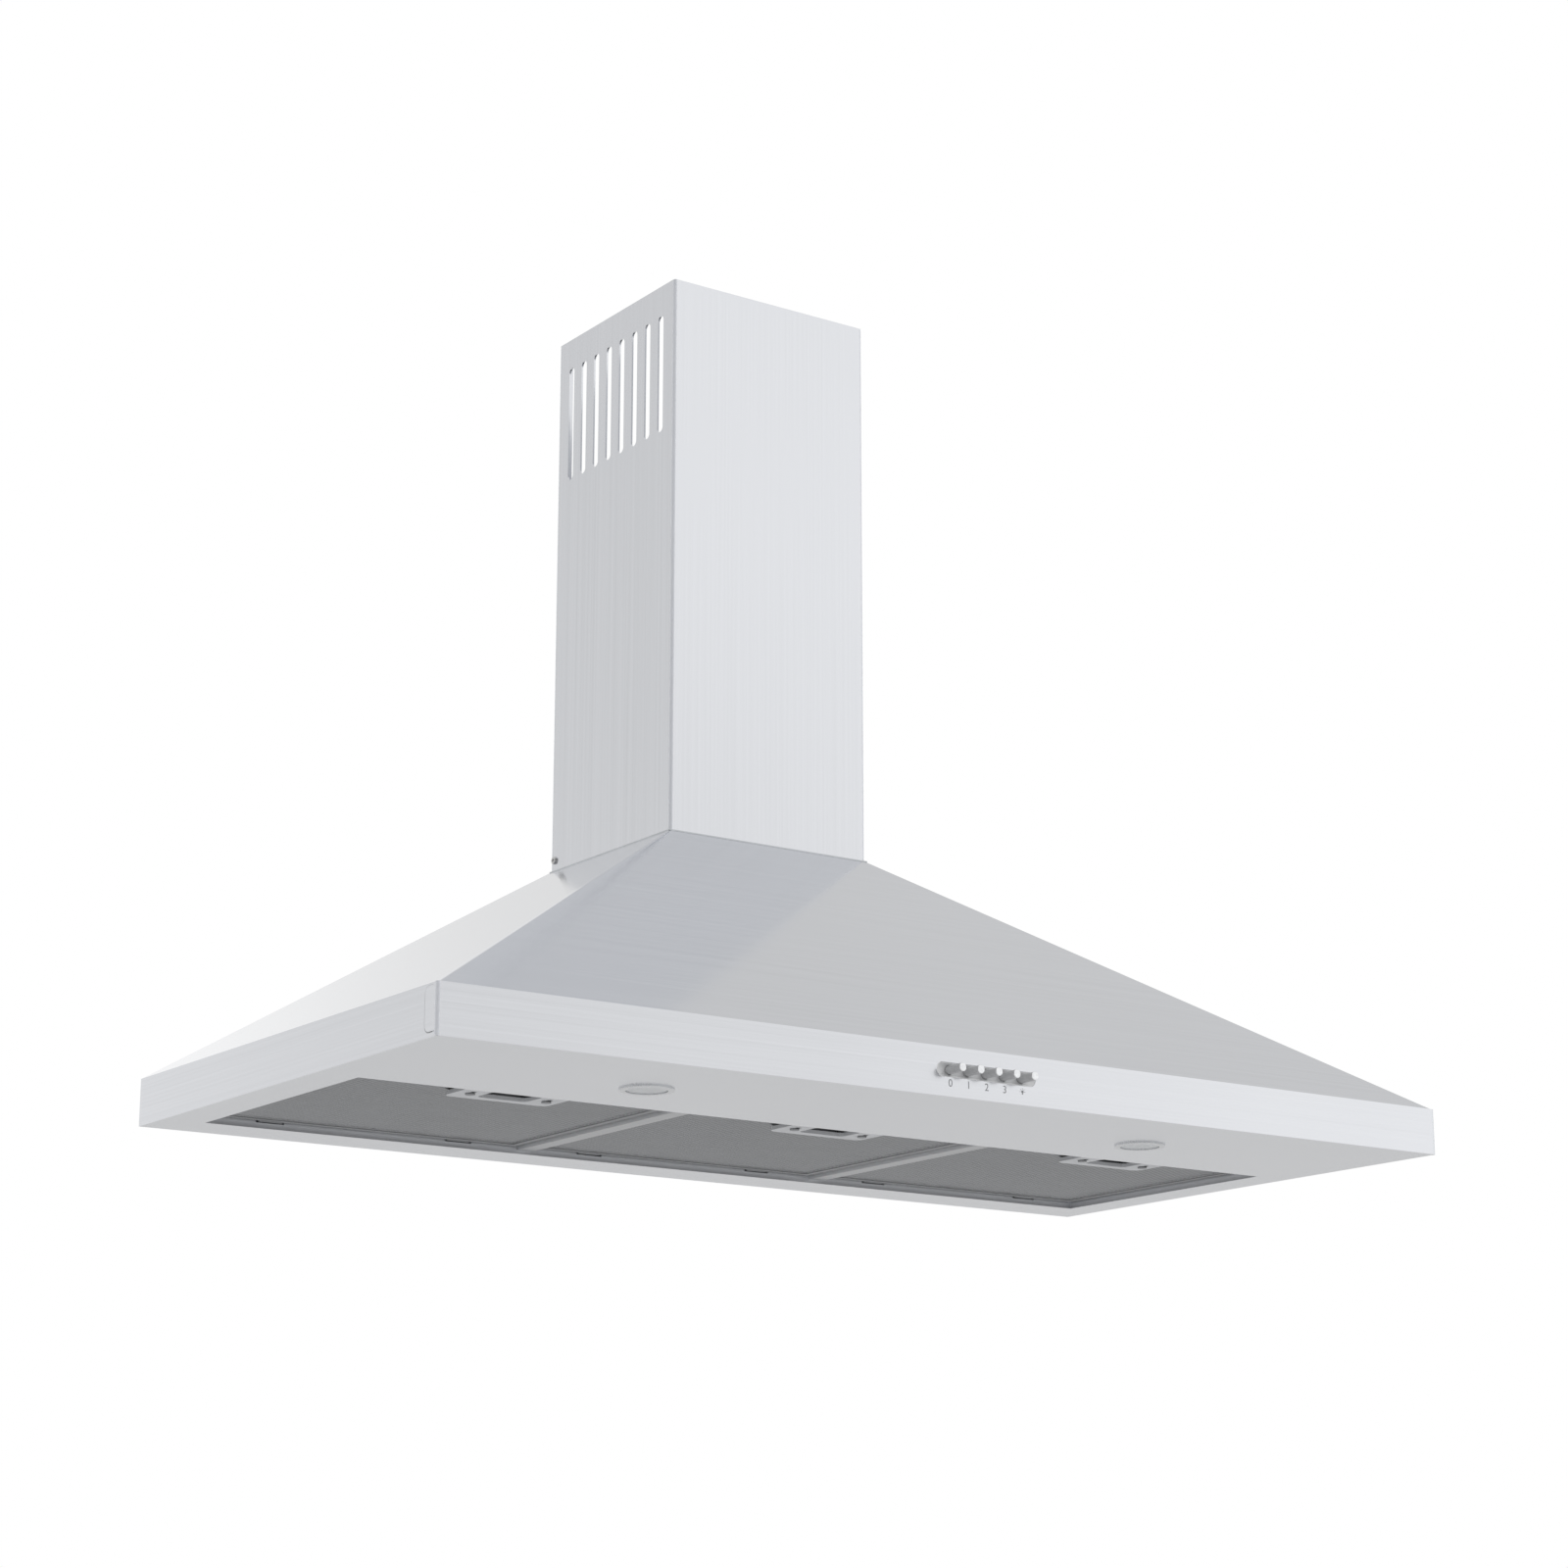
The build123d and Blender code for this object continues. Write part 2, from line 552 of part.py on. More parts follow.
def chimney_wall_bracket():
    """Strip on the wall whose wings hold the inner cover by its return flanges."""
    top = HOOD_HEIGHT - BRACKET_TOP_MARGIN
    base = top - BRACKET_HEIGHT
    wing_rear = UPPER_REAR - STEEL - SEAT_GAP
    wing_front = wing_rear - BRACKET_STEEL
    reach = UPPER_HALF - STEEL - SHEET_FIT
    strip = block(-BRACKET_HALF, BRACKET_HALF, -BRACKET_STEEL, 0, base, top)
    for side in (-1, 1):
        web = sorted((side * BRACKET_HALF, side * (BRACKET_HALF - BRACKET_STEEL)))
        wing = sorted((side * (BRACKET_HALF - BRACKET_STEEL), side * reach))
        corner = block(*wing, wing_front - BRACKET_EAR, wing_rear, base, top)
        outer = corner.edges().filter_by(Axis.Z).group_by(Axis.Y)[-1].sort_by(Axis.X)[0 if side < 0 else -1]
        corner = fillet(outer, BEND)
        room = sorted((side * (BRACKET_HALF - 2 * BRACKET_STEEL), side * (reach - BRACKET_STEEL)))
        corner -= block(*room, wing_front - BRACKET_EAR, wing_front, base, top)
        strip += block(*web, wing_front, 0, base, top)
        strip += corner
    for x in (-BRACKET_HOLE_SPACING / 2, BRACKET_HOLE_SPACING / 2):
        strip -= rod_y(x, -CUT_PAST, CUT_PAST, (base + top) / 2, BRACKET_HOLE_RADIUS)
    return strip


def chimney_screws():
    """Pan-head screws that fix the chimney foot to the upstand."""
    z = CANOPY_HEIGHT + CHIMNEY_SCREW_RAISE
    screws = []
    for side in (-1, 1):
        face = side * CHIMNEY_WIDTH / 2
        head = sorted((face, face + side * SCREW_HEAD_THICK))
        shank = sorted((face, face - side * CHIMNEY_SCREW_LENGTH))
        screw = rod_x(*head, -CHIMNEY_SCREW_SETBACK, z, SCREW_HEAD_RADIUS)
        crown = screw.faces().sort_by(Axis.X)[0 if side < 0 else -1]
        screw = fillet(crown.edges(), SCREW_HEAD_THICK / 2)
        screws.append(screw + rod_x(*shank, -CHIMNEY_SCREW_SETBACK, z, CHIMNEY_SCREW_RADIUS))
    return screws


def filter_slab(centre, inset, base, top):
    """Slab of a filter's outline, drawn in all round."""
    half = FILTER_HALF - inset
    return block(centre - half, centre + half, FILTER_FRONT + inset, FILTER_REAR - inset, base, top)


def filter_frame(centre):
    """Aluminium channel frame with the hinge tabs, the latch seat and its two studs."""
    sheet = FILTER_SHEET
    frame = filter_slab(centre, 0, FILTER_BASE, FILTER_TOP)
    frame -= filter_slab(centre, sheet, FILTER_BASE + sheet, FILTER_TOP - sheet)
    frame -= filter_slab(centre, FILTER_BORDER, FILTER_BASE, FILTER_TOP)
    frame += latch_seat(centre)
    for x in (centre - TAB_SPREAD / 2, centre + TAB_SPREAD / 2):
        half = FILTER_TAB_WIDTH / 2
        frame += block(
            x - half, x + half, FILTER_REAR - sheet, HINGE_Y, FILTER_BASE, FILTER_BASE + FILTER_TAB_THICKNESS
        )
        frame += rod_x(x - half, x + half, HINGE_Y, HINGE_Z, HINGE_BEAD_RADIUS)
    return frame


def seat_box(margin):
    """Space that the latch seat takes out of a filter, around its own centre line."""
    half = FINGER_WIDTH / 2 + SEAT_MARGIN + margin
    rear = FINGER_FRONT + FINGER_DEPTH + LATCH_TRAVEL + SEAT_MARGIN + margin
    return half, rear


def latch_seat(centre):
    """Pressed pan over the finger hole, with the plate and studs that the latch slides on."""
    sheet = FILTER_SHEET
    half, rear = seat_box(0)
    plate_half = STUD_SPREAD / 2 + STUD_HEAD_RADIUS
    pan_top = FILTER_BASE + FINGER_HEIGHT
    plate_top = FILTER_BASE + sheet
    seat = block(centre - plate_half, centre + plate_half, FILTER_FRONT, rear, FILTER_BASE, plate_top)
    seat += block(centre - half, centre + half, FILTER_FRONT, rear, FILTER_BASE, pan_top)
    seat -= block(
        centre - half + sheet, centre + half - sheet, FILTER_FRONT + sheet, rear - sheet, 0, pan_top - sheet
    )
    head_top = LATCH_BASE - SEAT_GAP
    for x in (centre - STUD_SPREAD / 2, centre + STUD_SPREAD / 2):
        seat += rod_z(x, STUD_Y, head_top - STUD_HEAD_THICK, plate_top, STUD_RADIUS)
        seat += rod_z(x, STUD_Y, head_top - STUD_HEAD_THICK, head_top, STUD_HEAD_RADIUS)
    return seat


def filter_mesh(centre):
    """Layered aluminium mesh held in the channel of its frame."""
    play = FILTER_SHEET + MESH_FIT
    pack = filter_slab(centre, play, FILTER_BASE + play, FILTER_TOP - play)
    seat_half, seat_rear = seat_box(MESH_FIT)
    stud_half = STUD_SPREAD / 2 + STUD_HEAD_RADIUS + MESH_FIT
    plate_top = FILTER_BASE + play
    front = FILTER_FRONT
    pack -= block(centre - seat_half, centre + seat_half, front, seat_rear, FILTER_BASE, FILTER_TOP)
    return pack - block(centre - stud_half, centre + stud_half, front, seat_rear, FILTER_BASE, plate_top)


def filter_latch(centre):
    """Sliding plastic latch with its finger hole, stud slots and front tongue."""
    rear = LATCH_FRONT + LATCH_DEPTH
    plate = block(
        centre - LATCH_WIDTH / 2, centre + LATCH_WIDTH / 2, LATCH_FRONT, rear, LATCH_BASE, LATCH_TOP
    )
    plate = fillet(plate.edges().filter_by(Axis.Z), LATCH_CORNER)
    hole = block(
        centre - FINGER_WIDTH / 2,
        centre + FINGER_WIDTH / 2,
        FINGER_FRONT,
        FINGER_FRONT + FINGER_DEPTH,
        LATCH_BASE,
        LATCH_TOP,
    )
    plate -= fillet(hole.edges().filter_by(Axis.Z), FINGER_CORNER)
    width = 2 * (STUD_RADIUS + SEAT_GAP)
    outline = SlotOverall(LATCH_TRAVEL + width, width, rotation=90)
    for x in (centre - STUD_SPREAD / 2, centre + STUD_SPREAD / 2):
        plate -= Pos(x, STUD_Y - LATCH_TRAVEL / 2, LATCH_BASE) * extrude(outline, LATCH_THICKNESS)
    tongue_front = OPENING_FRONT + TONGUE_GAP
    plate += block(
        centre - TONGUE_WIDTH / 2,
        centre + TONGUE_WIDTH / 2,
        tongue_front,
        LATCH_FRONT + FINGER_SETBACK / 2,
        LATCH_TOP - TONGUE_THICKNESS,
        LATCH_TOP,
    )
    return plate


def lamp_bezel(x):
    """Ring under the bottom frame whose neck passes up through the lamp hole."""
    ring = rod_z(x, LAMP_Y, -LAMP_BEZEL_DROP, 0, LAMP_BEZEL_RADIUS)
    ring = fillet(ring.faces().sort_by(Axis.Z)[0].edges(), LAMP_BEZEL_DROP / 2)
    ring += rod_z(x, LAMP_Y, 0, LAMP_NECK_HEIGHT, LAMP_CUT_RADIUS)
    ring -= rod_z(x, LAMP_Y, -CUT_PAST, LAMP_NECK_HEIGHT, LAMP_CUT_RADIUS - LAMP_NECK_WALL)
    return ring


def lamp_lens(x):
    """Frosted lens inside the bezel."""
    base = -LAMP_BEZEL_DROP / 2
    return rod_z(x, LAMP_Y, base, base + LENS_THICKNESS, LAMP_CUT_RADIUS - LAMP_NECK_WALL - SHEET_FIT)


def lamp_can(x):
    """Cap over the lamp, seated on the bottom frame inside the canopy."""
    top = STEEL + LAMP_CAN_HEIGHT
    can = rod_z(x, LAMP_Y, STEEL, top, LAMP_CAN_RADIUS)
    return can - rod_z(x, LAMP_Y, 0, top - LAMP_CAN_WALL, LAMP_CAN_RADIUS - LAMP_CAN_WALL)


def lamp_module(x):
    """Round board under the top of the can, with the light source on it."""
    top = STEEL + LAMP_CAN_HEIGHT - LAMP_CAN_WALL
    board_base = top - LAMP_BOARD_THICK
    board = rod_z(x, LAMP_Y, board_base, top, LAMP_BOARD_RADIUS)
    return board + rod_z(x, LAMP_Y, board_base - LAMP_SOURCE_HEIGHT, board_base, LAMP_SOURCE_RADIUS)


def switch_bezel():
    """Dished plate in the fascia's oblong hole, with a flange behind the sheet."""
    flange = 2 * BEZEL_RIM
    plate = stadium(HOOD_FRONT + BEZEL_RECESS, BODY_FRONT, BEZEL_LENGTH - SHEET_FIT, BEZEL_WIDTH - SHEET_FIT)
    plate += stadium(BODY_FRONT, BEZEL_REAR, BEZEL_LENGTH + flange, BEZEL_WIDTH + flange)
    plate -= rod_x(-DISH_END, DISH_END, DISH_AXIS_Y, SWITCH_HEIGHT, DISH_RADIUS)
    for x in (-DISH_END, DISH_END):
        plate -= Pos(x, DISH_AXIS_Y, SWITCH_HEIGHT) * Sphere(DISH_RADIUS)
    for x in BUTTON_PLACES:
        plate -= rod_y(x, HOOD_FRONT, BEZEL_REAR, SWITCH_HEIGHT, BUTTON_RADIUS + BUTTON_PLAY)
    return plate


def switch_block():
    """Switch body behind the bezel, bored for the five buttons."""
    half = SWITCH_BLOCK_WIDTH / 2
    tall = SWITCH_BLOCK_TALL / 2
    rear = BEZEL_REAR + SWITCH_BLOCK_DEPTH
    body = block(-half, half, BEZEL_REAR, rear, SWITCH_HEIGHT - tall, SWITCH_HEIGHT + tall)
    pocket = BEZEL_REAR + BUTTON_PLAY + BUTTON_FLANGE_THICK + BUTTON_TRAVEL + BUTTON_PLAY
    bore = BEZEL_REAR + BUTTON_FLANGE_THICK + STEM_LENGTH + BUTTON_TRAVEL + 2 * BUTTON_PLAY
    for x in BUTTON_PLACES:
        body -= rod_y(x, BEZEL_REAR, pocket, SWITCH_HEIGHT, BUTTON_FLANGE_RADIUS + BUTTON_PLAY)
        body -= rod_y(x, BEZEL_REAR, bore, SWITCH_HEIGHT, STEM_RADIUS + BUTTON_PLAY)
    return body


def push_button(x):
    """Round button with a retaining flange and a stem in the switch block."""
    front = HOOD_FRONT - BUTTON_REACH
    flange = BEZEL_REAR + BUTTON_PLAY
    stem = flange + BUTTON_FLANGE_THICK
    cap = rod_y(x, front, flange, SWITCH_HEIGHT, BUTTON_RADIUS)
    cap = fillet(cap.faces().sort_by(Axis.Y)[0].edges(), BUTTON_EDGE)
    cap += rod_y(x, flange, stem, SWITCH_HEIGHT, BUTTON_FLANGE_RADIUS)
    return cap + rod_y(x, stem, stem + STEM_LENGTH, SWITCH_HEIGHT, STEM_RADIUS)


def volute(inset):
    """Spiral outline of the blower about its axis, opening upwards at the outlet."""
    step = VOLUTE_STEP
    centres = ((-step / 2, -step / 2), (step / 2, -step / 2), (step / 2, step / 2))
    arcs = []
    for i, centre in enumerate(centres):
        arcs.append(CenterArc(centre, VOLUTE_RADIUS + i * step - inset, 90 + 90 * i, 90))
    start, end = arcs[0] @ 0, arcs[-1] @ 1
    inner_left = OUTLET_LEFT + inset
    corners = [end, (end.X, OUTLET_TOP), (inner_left, OUTLET_TOP), (inner_left, start.Y)]
    if inset > 0:
        corners.append(start)
    return make_face(arcs + [Polyline(*corners)])


def blower_half(side):
    """Half of the blower housing, with its inlet and its share of the outlet."""
    def slab(face, width):
        place = Plane((0, BLOWER_Y, BLOWER_Z), x_dir=(0, 1, 0), z_dir=(1, 0, 0))
        return extrude(place * face, side * width)

    half = slab(volute(0), BLOWER_HALF) - slab(volute(BLOWER_WALL), BLOWER_HALF - BLOWER_WALL)
    return half - rod_x(-HOOD_HALF, HOOD_HALF, BLOWER_Y, BLOWER_Z, INLET_RADIUS)


def blower_neck():
    """Outlet duct on the two halves, with a skirt round them and the flange that hangs the blower."""
    half = BLOWER_HALF
    y0, y1 = BLOWER_Y + OUTLET_LEFT, BLOWER_Y + OUTLET_RIGHT
    fit = SHEET_FIT
    skirt_base = NECK_BASE - NECK_SKIRT
    skirt_half = half + fit + BLOWER_WALL
    neck = block(-half, half, y0, y1, NECK_BASE, SLOPE_TOP)
    skirt = block(-skirt_half, skirt_half, y0, y1 + fit + BLOWER_WALL, skirt_base, NECK_BASE + BLOWER_WALL)
    neck += skirt - block(-half - fit, half + fit, y0, y1 + fit, skirt_base, NECK_BASE)
    flange_half = half + BLOWER_FLANGE
    low = SLOPE_TOP - BLOWER_FLANGE_THICK
    neck += block(-flange_half, flange_half, y0 - BLOWER_FLANGE, y1 + BLOWER_FLANGE, low, SLOPE_TOP)
    mouth = half - BLOWER_WALL
    neck -= block(-mouth, mouth, y0 + BLOWER_WALL, y1 - BLOWER_WALL, skirt_base, SLOPE_TOP)
    for x, y in blower_screw_places():
        neck -= rod_z(x, y, low - CUT_PAST, SLOPE_TOP, BLOWER_SCREW_RADIUS + SCREW_FIT)
    return neck


def blower_screw_places():
    """Middles of the four screws in the side edges of the blower flange."""
    x = BLOWER_HALF + BLOWER_FLANGE / 2
    y = BLOWER_SCREW_SPREAD / 2
    return [(i * x, CHIMNEY_MIDDLE_Y + j * y) for i in (-1, 1) for j in (-1, 1)]


def blower_screws():
    """Screws that hang the blower from the top plate."""
    seat = SLOPE_TOP - BLOWER_FLANGE_THICK
    screws = []
    for x, y in blower_screw_places():
        head = rod_z(x, y, seat - SCREW_HEAD_THICK, seat, SCREW_HEAD_RADIUS)
        screws.append(head + rod_z(x, y, seat, seat + BLOWER_SCREW_LENGTH, BLOWER_SCREW_RADIUS))
    return screws


def spokes(count, x0, x1, inner, outer, width):
    """Flat radial bars about the blower axis."""
    bars = []
    for i in range(count):
        bar = block(x0, x1, -width / 2, width / 2, inner, outer)
        bars.append(Pos(0, BLOWER_Y, BLOWER_Z) * Rot(i * 360 / count, 0, 0) * bar)
    return bars


def inlet_guard():
    """Ring and bars over the left inlet."""
    x1 = -BLOWER_HALF
    x0 = x1 - INLET_PLATE
    middle = (INLET_RADIUS + GUARD_HUB_RADIUS) / 2
    guard = ring_x(x0, x1, BLOWER_Y, BLOWER_Z, INLET_RADIUS + INLET_RING, INLET_RADIUS)
    guard += ring_x(x0, x1, BLOWER_Y, BLOWER_Z, middle + GUARD_BAR, middle)
    guard += rod_x(x0, x1, BLOWER_Y, BLOWER_Z, GUARD_HUB_RADIUS)
    bar_end = INLET_RADIUS + INLET_RING / 2
    return guard + spokes(GUARD_SPOKES, x0, x1, GUARD_HUB_RADIUS / 2, bar_end, GUARD_BAR)


def motor_bracket():
    """Ring on the right inlet with arms to the motor's seat."""
    x0 = BLOWER_HALF
    x1 = x0 + INLET_PLATE
    frame = ring_x(x0, x1, BLOWER_Y, BLOWER_Z, INLET_RADIUS + INLET_RING, INLET_RADIUS)
    frame += rod_x(x0, x1, BLOWER_Y, BLOWER_Z, MOTOR_RADIUS)
    frame += spokes(MOTOR_ARMS, x0, x1, MOTOR_RADIUS / 2, INLET_RADIUS + INLET_RING / 2, MOTOR_ARM_WIDTH)
    for y, z in motor_screw_places():
        frame -= rod_x(x0 - CUT_PAST, x1 + CUT_PAST, y, z, MOTOR_SCREW_RADIUS + SCREW_FIT)
    return frame


def motor_screw_places():
    """Middles of the motor screws, one on each bracket arm."""
    places = []
    for i in range(MOTOR_ARMS):
        angle = 2 * math.pi * i / MOTOR_ARMS
        y, z = -MOTOR_SCREW_RING * math.sin(angle), MOTOR_SCREW_RING * math.cos(angle)
        places.append((BLOWER_Y + y, BLOWER_Z + z))
    return places


def motor_screws():
    """Screws through the bracket into the motor."""
    face = BLOWER_HALF + INLET_PLATE
    screws = []
    for y, z in motor_screw_places():
        head = rod_x(face, face + SCREW_HEAD_THICK, y, z, SCREW_HEAD_RADIUS)
        screws.append(head + rod_x(face - MOTOR_SCREW_LENGTH, face, y, z, MOTOR_SCREW_RADIUS))
    return screws


def motor_body():
    """Round motor inside the impeller, bored for its shaft."""
    body = rod_x(MOTOR_FRONT, MOTOR_REAR, BLOWER_Y, BLOWER_Z, MOTOR_RADIUS)
    body = fillet(body.faces().sort_by(Axis.X)[0].edges(), MOTOR_EDGE)
    body += rod_x(MOTOR_FRONT - MOTOR_BOSS_LENGTH, MOTOR_FRONT, BLOWER_Y, BLOWER_Z, MOTOR_BOSS_RADIUS)
    bore_end = MOTOR_FRONT + SHAFT_IN_MOTOR + SEAT_GAP
    bore_start = MOTOR_FRONT - MOTOR_BOSS_LENGTH - CUT_PAST
    body -= rod_x(bore_start, bore_end, BLOWER_Y, BLOWER_Z, SHAFT_RADIUS + SHAFT_FIT)
    hole = BLOWER_HALF + INLET_PLATE - MOTOR_SCREW_LENGTH - SEAT_GAP
    for y, z in motor_screw_places():
        body -= rod_x(hole, MOTOR_REAR, y, z, MOTOR_SCREW_RADIUS + SCREW_FIT)
    return body


def hub_left():
    """Left end of the impeller hub."""
    return HUB_DISC_X - HUB_DISC_THICK / 2 - HUB_REACH


def motor_shaft():
    """Shaft from the motor through the impeller hub."""
    left = hub_left() - SHAFT_PAST_HUB
    return rod_x(left, MOTOR_FRONT + SHAFT_IN_MOTOR, BLOWER_Y, BLOWER_Z, SHAFT_RADIUS)


def impeller():
    """Squirrel-cage impeller with forward-curved blades, two rings and a hub disc."""
    half = IMPELLER_WIDTH / 2
    inner = IMPELLER_RADIUS - IMPELLER_RING
    wheel = ring_x(-half, -half + IMPELLER_RING_THICK, BLOWER_Y, BLOWER_Z, IMPELLER_RADIUS, inner)
    wheel += ring_x(half - IMPELLER_RING_THICK, half, BLOWER_Y, BLOWER_Z, IMPELLER_RADIUS, inner)
    disc = HUB_DISC_THICK / 2
    wheel += rod_x(HUB_DISC_X - disc, HUB_DISC_X + disc, BLOWER_Y, BLOWER_Z, IMPELLER_RADIUS)
    hub_end = HUB_DISC_X + disc + HUB_REACH
    wheel += rod_x(hub_left(), hub_end, BLOWER_Y, BLOWER_Z, HUB_RADIUS)
    reach = BLADE_LENGTH / 2
    blade = block(-half, half, -BLADE_THICK / 2, BLADE_THICK / 2, -reach, reach)
    blade = Pos(0, 0, IMPELLER_RADIUS - IMPELLER_RING / 2) * Rot(BLADE_PITCH_ANGLE, 0, 0) * blade
    blades = [
        Pos(0, BLOWER_Y, BLOWER_Z) * Rot(i * 360 / BLADE_COUNT, 0, 0) * blade for i in range(BLADE_COUNT)
    ]
    wheel += blades
    return wheel - rod_x(-half, half, BLOWER_Y, BLOWER_Z, SHAFT_RADIUS + SHAFT_FIT)


def impeller_nut():
    """Nut that holds the impeller on its shaft."""
    right = hub_left()
    nut = hex_x(right - NUT_THICK, right, BLOWER_Y, BLOWER_Z, NUT_ACROSS)
    return nut - rod_x(right - NUT_THICK, right, BLOWER_Y, BLOWER_Z, SHAFT_RADIUS + SHAFT_FIT)


def outlet_collar():
    """Round spigot on the top plate with the ledge, bar and pin holes of the flaps."""
    y = CHIMNEY_MIDDLE_Y
    base = CANOPY_HEIGHT
    bore = DUCT_RADIUS - COLLAR_WALL
    collar = rod_z(0, y, base, base + COLLAR_FLANGE_THICK, DUCT_RADIUS + COLLAR_FLANGE)
    collar += rod_z(0, y, base, base + COLLAR_HEIGHT, DUCT_RADIUS)
    collar -= rod_z(0, y, base, base + COLLAR_HEIGHT, bore)
    ledge_base = base + COLLAR_LEDGE_RAISE
    ledge_top = ledge_base + COLLAR_LEDGE_THICK
    ledge = rod_z(0, y, ledge_base, ledge_top, bore) - rod_z(0, y, ledge_base, ledge_top, bore - COLLAR_LEDGE)
    room = FLAP_PIN_OFFSET + FLAP_PIN_RADIUS + FLAP_HINGE_ROOM
    ledge -= block(-DUCT_RADIUS, DUCT_RADIUS, y - room, y + room, ledge_base, ledge_top)
    collar += ledge
    span = bore + COLLAR_WALL / 2
    collar += block(-span, span, y - COLLAR_BAR / 2, y + COLLAR_BAR / 2, ledge_base, ledge_top + FLAP_THICK)
    reach = flap_pin_reach() + SEAT_GAP
    for side in (-1, 1):
        pin_y = y + side * FLAP_PIN_OFFSET
        collar -= rod_x(-reach, reach, pin_y, FLAP_PIN_Z, FLAP_PIN_RADIUS + FLAP_PIN_FIT)
    return collar


def flap_pin_reach():
    """How far a flap pin goes out along X, part way into the collar's wall."""
    bore = DUCT_RADIUS - COLLAR_WALL
    return math.sqrt(bore**2 - FLAP_PIN_OFFSET**2) + FLAP_PIN_BITE


def damper_flap(side):
    """Half-round flap with a hinge pin along its straight edge."""
    y = CHIMNEY_MIDDLE_Y
    pin_y = y + side * FLAP_PIN_OFFSET
    flap = rod_z(0, y, FLAP_BASE, FLAP_BASE + FLAP_THICK, FLAP_RADIUS)
    away = sorted((pin_y, y - side * DUCT_RADIUS))
    flap -= block(-DUCT_RADIUS, DUCT_RADIUS, *away, FLAP_BASE, FLAP_BASE + FLAP_THICK)
    reach = flap_pin_reach()
    return flap + rod_x(-reach, reach, pin_y, FLAP_PIN_Z, FLAP_PIN_RADIUS)


def lid_screw_places():
    """Corners of the control box that hold a lid screw."""
    xs = (BOX_LEFT + LID_POST_INSET, BOX_RIGHT - LID_POST_INSET)
    zs = (BOX_BASE + LID_POST_INSET, BOX_TOP - LID_POST_INSET)
    return [(x, z) for x in xs for z in zs]


def gland_place():
    """Middle of the gland in the top of the control box."""
    return BOX_LEFT + GLAND_INSET, (BOX_FRONT + BOX_REAR) / 2


def control_box():
    """Box on the back panel, open at the front, with posts for the lid screws."""
    wall = BOX_WALL
    box = block(BOX_LEFT, BOX_RIGHT, BOX_FRONT, BOX_REAR, BOX_BASE, BOX_TOP)
    left, right = BOX_LEFT + wall, BOX_RIGHT - wall
    box -= block(left, right, BOX_FRONT, BOX_REAR - wall, BOX_BASE + wall, BOX_TOP - wall)
    for x, z in lid_screw_places():
        box += rod_y(x, BOX_FRONT, BOX_REAR - wall, z, LID_POST_RADIUS)
        box -= rod_y(x, BOX_FRONT, BOX_FRONT + LID_SCREW_LENGTH + SEAT_GAP, z, LID_SCREW_RADIUS + SCREW_FIT)
    x, y = gland_place()
    return box - rod_z(x, y, BOX_TOP - wall, BOX_TOP, GLAND_RADIUS + SCREW_FIT)


def control_box_lid():
    """Lid over the front of the control box."""
    lid = block(BOX_LEFT, BOX_RIGHT, BOX_FRONT - LID_THICK, BOX_FRONT, BOX_BASE, BOX_TOP)
    for x, z in lid_screw_places():
        lid -= rod_y(x, BOX_FRONT - LID_THICK, BOX_FRONT, z, LID_SCREW_RADIUS + SCREW_FIT)
    return lid


def lid_screws():
    """Screws at the corners of the control box lid."""
    face = BOX_FRONT - LID_THICK
    screws = []
    for x, z in lid_screw_places():
        head = rod_y(x, face - SCREW_HEAD_THICK, face, z, SCREW_HEAD_RADIUS)
        screws.append(head + rod_y(x, face, BOX_FRONT + LID_SCREW_LENGTH, z, LID_SCREW_RADIUS))
    return screws


def terminal_block():
    """Row of wire clamps on the back wall of the control box."""
    middle = (BOX_LEFT + BOX_RIGHT) / 2
    rear = BOX_REAR - BOX_WALL
    base = BOX_BASE + BOX_WALL + TERMINAL_RAISE
    top = base + TERMINAL_TALL
    half = TERMINAL_WIDTH / 2
    row = block(middle - half, middle + half, rear - TERMINAL_DEPTH, rear, base, top)
    for i in range(TERMINAL_WAYS):
        x = middle + (i - (TERMINAL_WAYS - 1) / 2) * TERMINAL_PITCH
        row -= rod_z(x, rear - TERMINAL_DEPTH / 2, base, top, TERMINAL_BORE)
    return row


def motor_capacitor():
    """Round capacitor against the back wall of the control box."""
    middle = (BOX_LEFT + BOX_RIGHT) / 2
    half = CAPACITOR_LENGTH / 2
    y = BOX_REAR - BOX_WALL - SEAT_GAP - CAPACITOR_RADIUS
    return rod_x(middle - half, middle + half, y, BOX_TOP - BOX_WALL - CAPACITOR_DROP, CAPACITOR_RADIUS)


def cable_gland():
    """Gland for the mains lead in the top of the control box."""
    x, y = gland_place()
    inside = BOX_TOP - BOX_WALL
    cap_base = BOX_TOP + GLAND_NUT_THICK
    outline = RegularPolygon(GLAND_NUT_ACROSS / math.sqrt(3), 6)
    nut = Pos(x, y, BOX_TOP) * extrude(outline, GLAND_NUT_THICK)
    lock = Pos(x, y, inside - GLAND_NUT_THICK) * extrude(outline, GLAND_NUT_THICK)
    top = cap_base + GLAND_CAP_HEIGHT
    gland = nut + lock + rod_z(x, y, inside, BOX_TOP, GLAND_RADIUS)
    gland += rod_z(x, y, cap_base, top, GLAND_CAP_RADIUS)
    return gland - rod_z(x, y, inside - GLAND_NUT_THICK - CUT_PAST, top + CUT_PAST, GLAND_BORE)


def lamp_driver():
    """Power supply of the lamps, on the back panel."""
    left = DRIVER_RIGHT - DRIVER_LENGTH
    rear = -STEEL
    body = block(left, DRIVER_RIGHT, rear - DRIVER_DEPTH, rear, DRIVER_BASE, DRIVER_BASE + DRIVER_TALL)
    return fillet(body.faces().sort_by(Axis.Y)[0].edges(), DRIVER_EDGE)


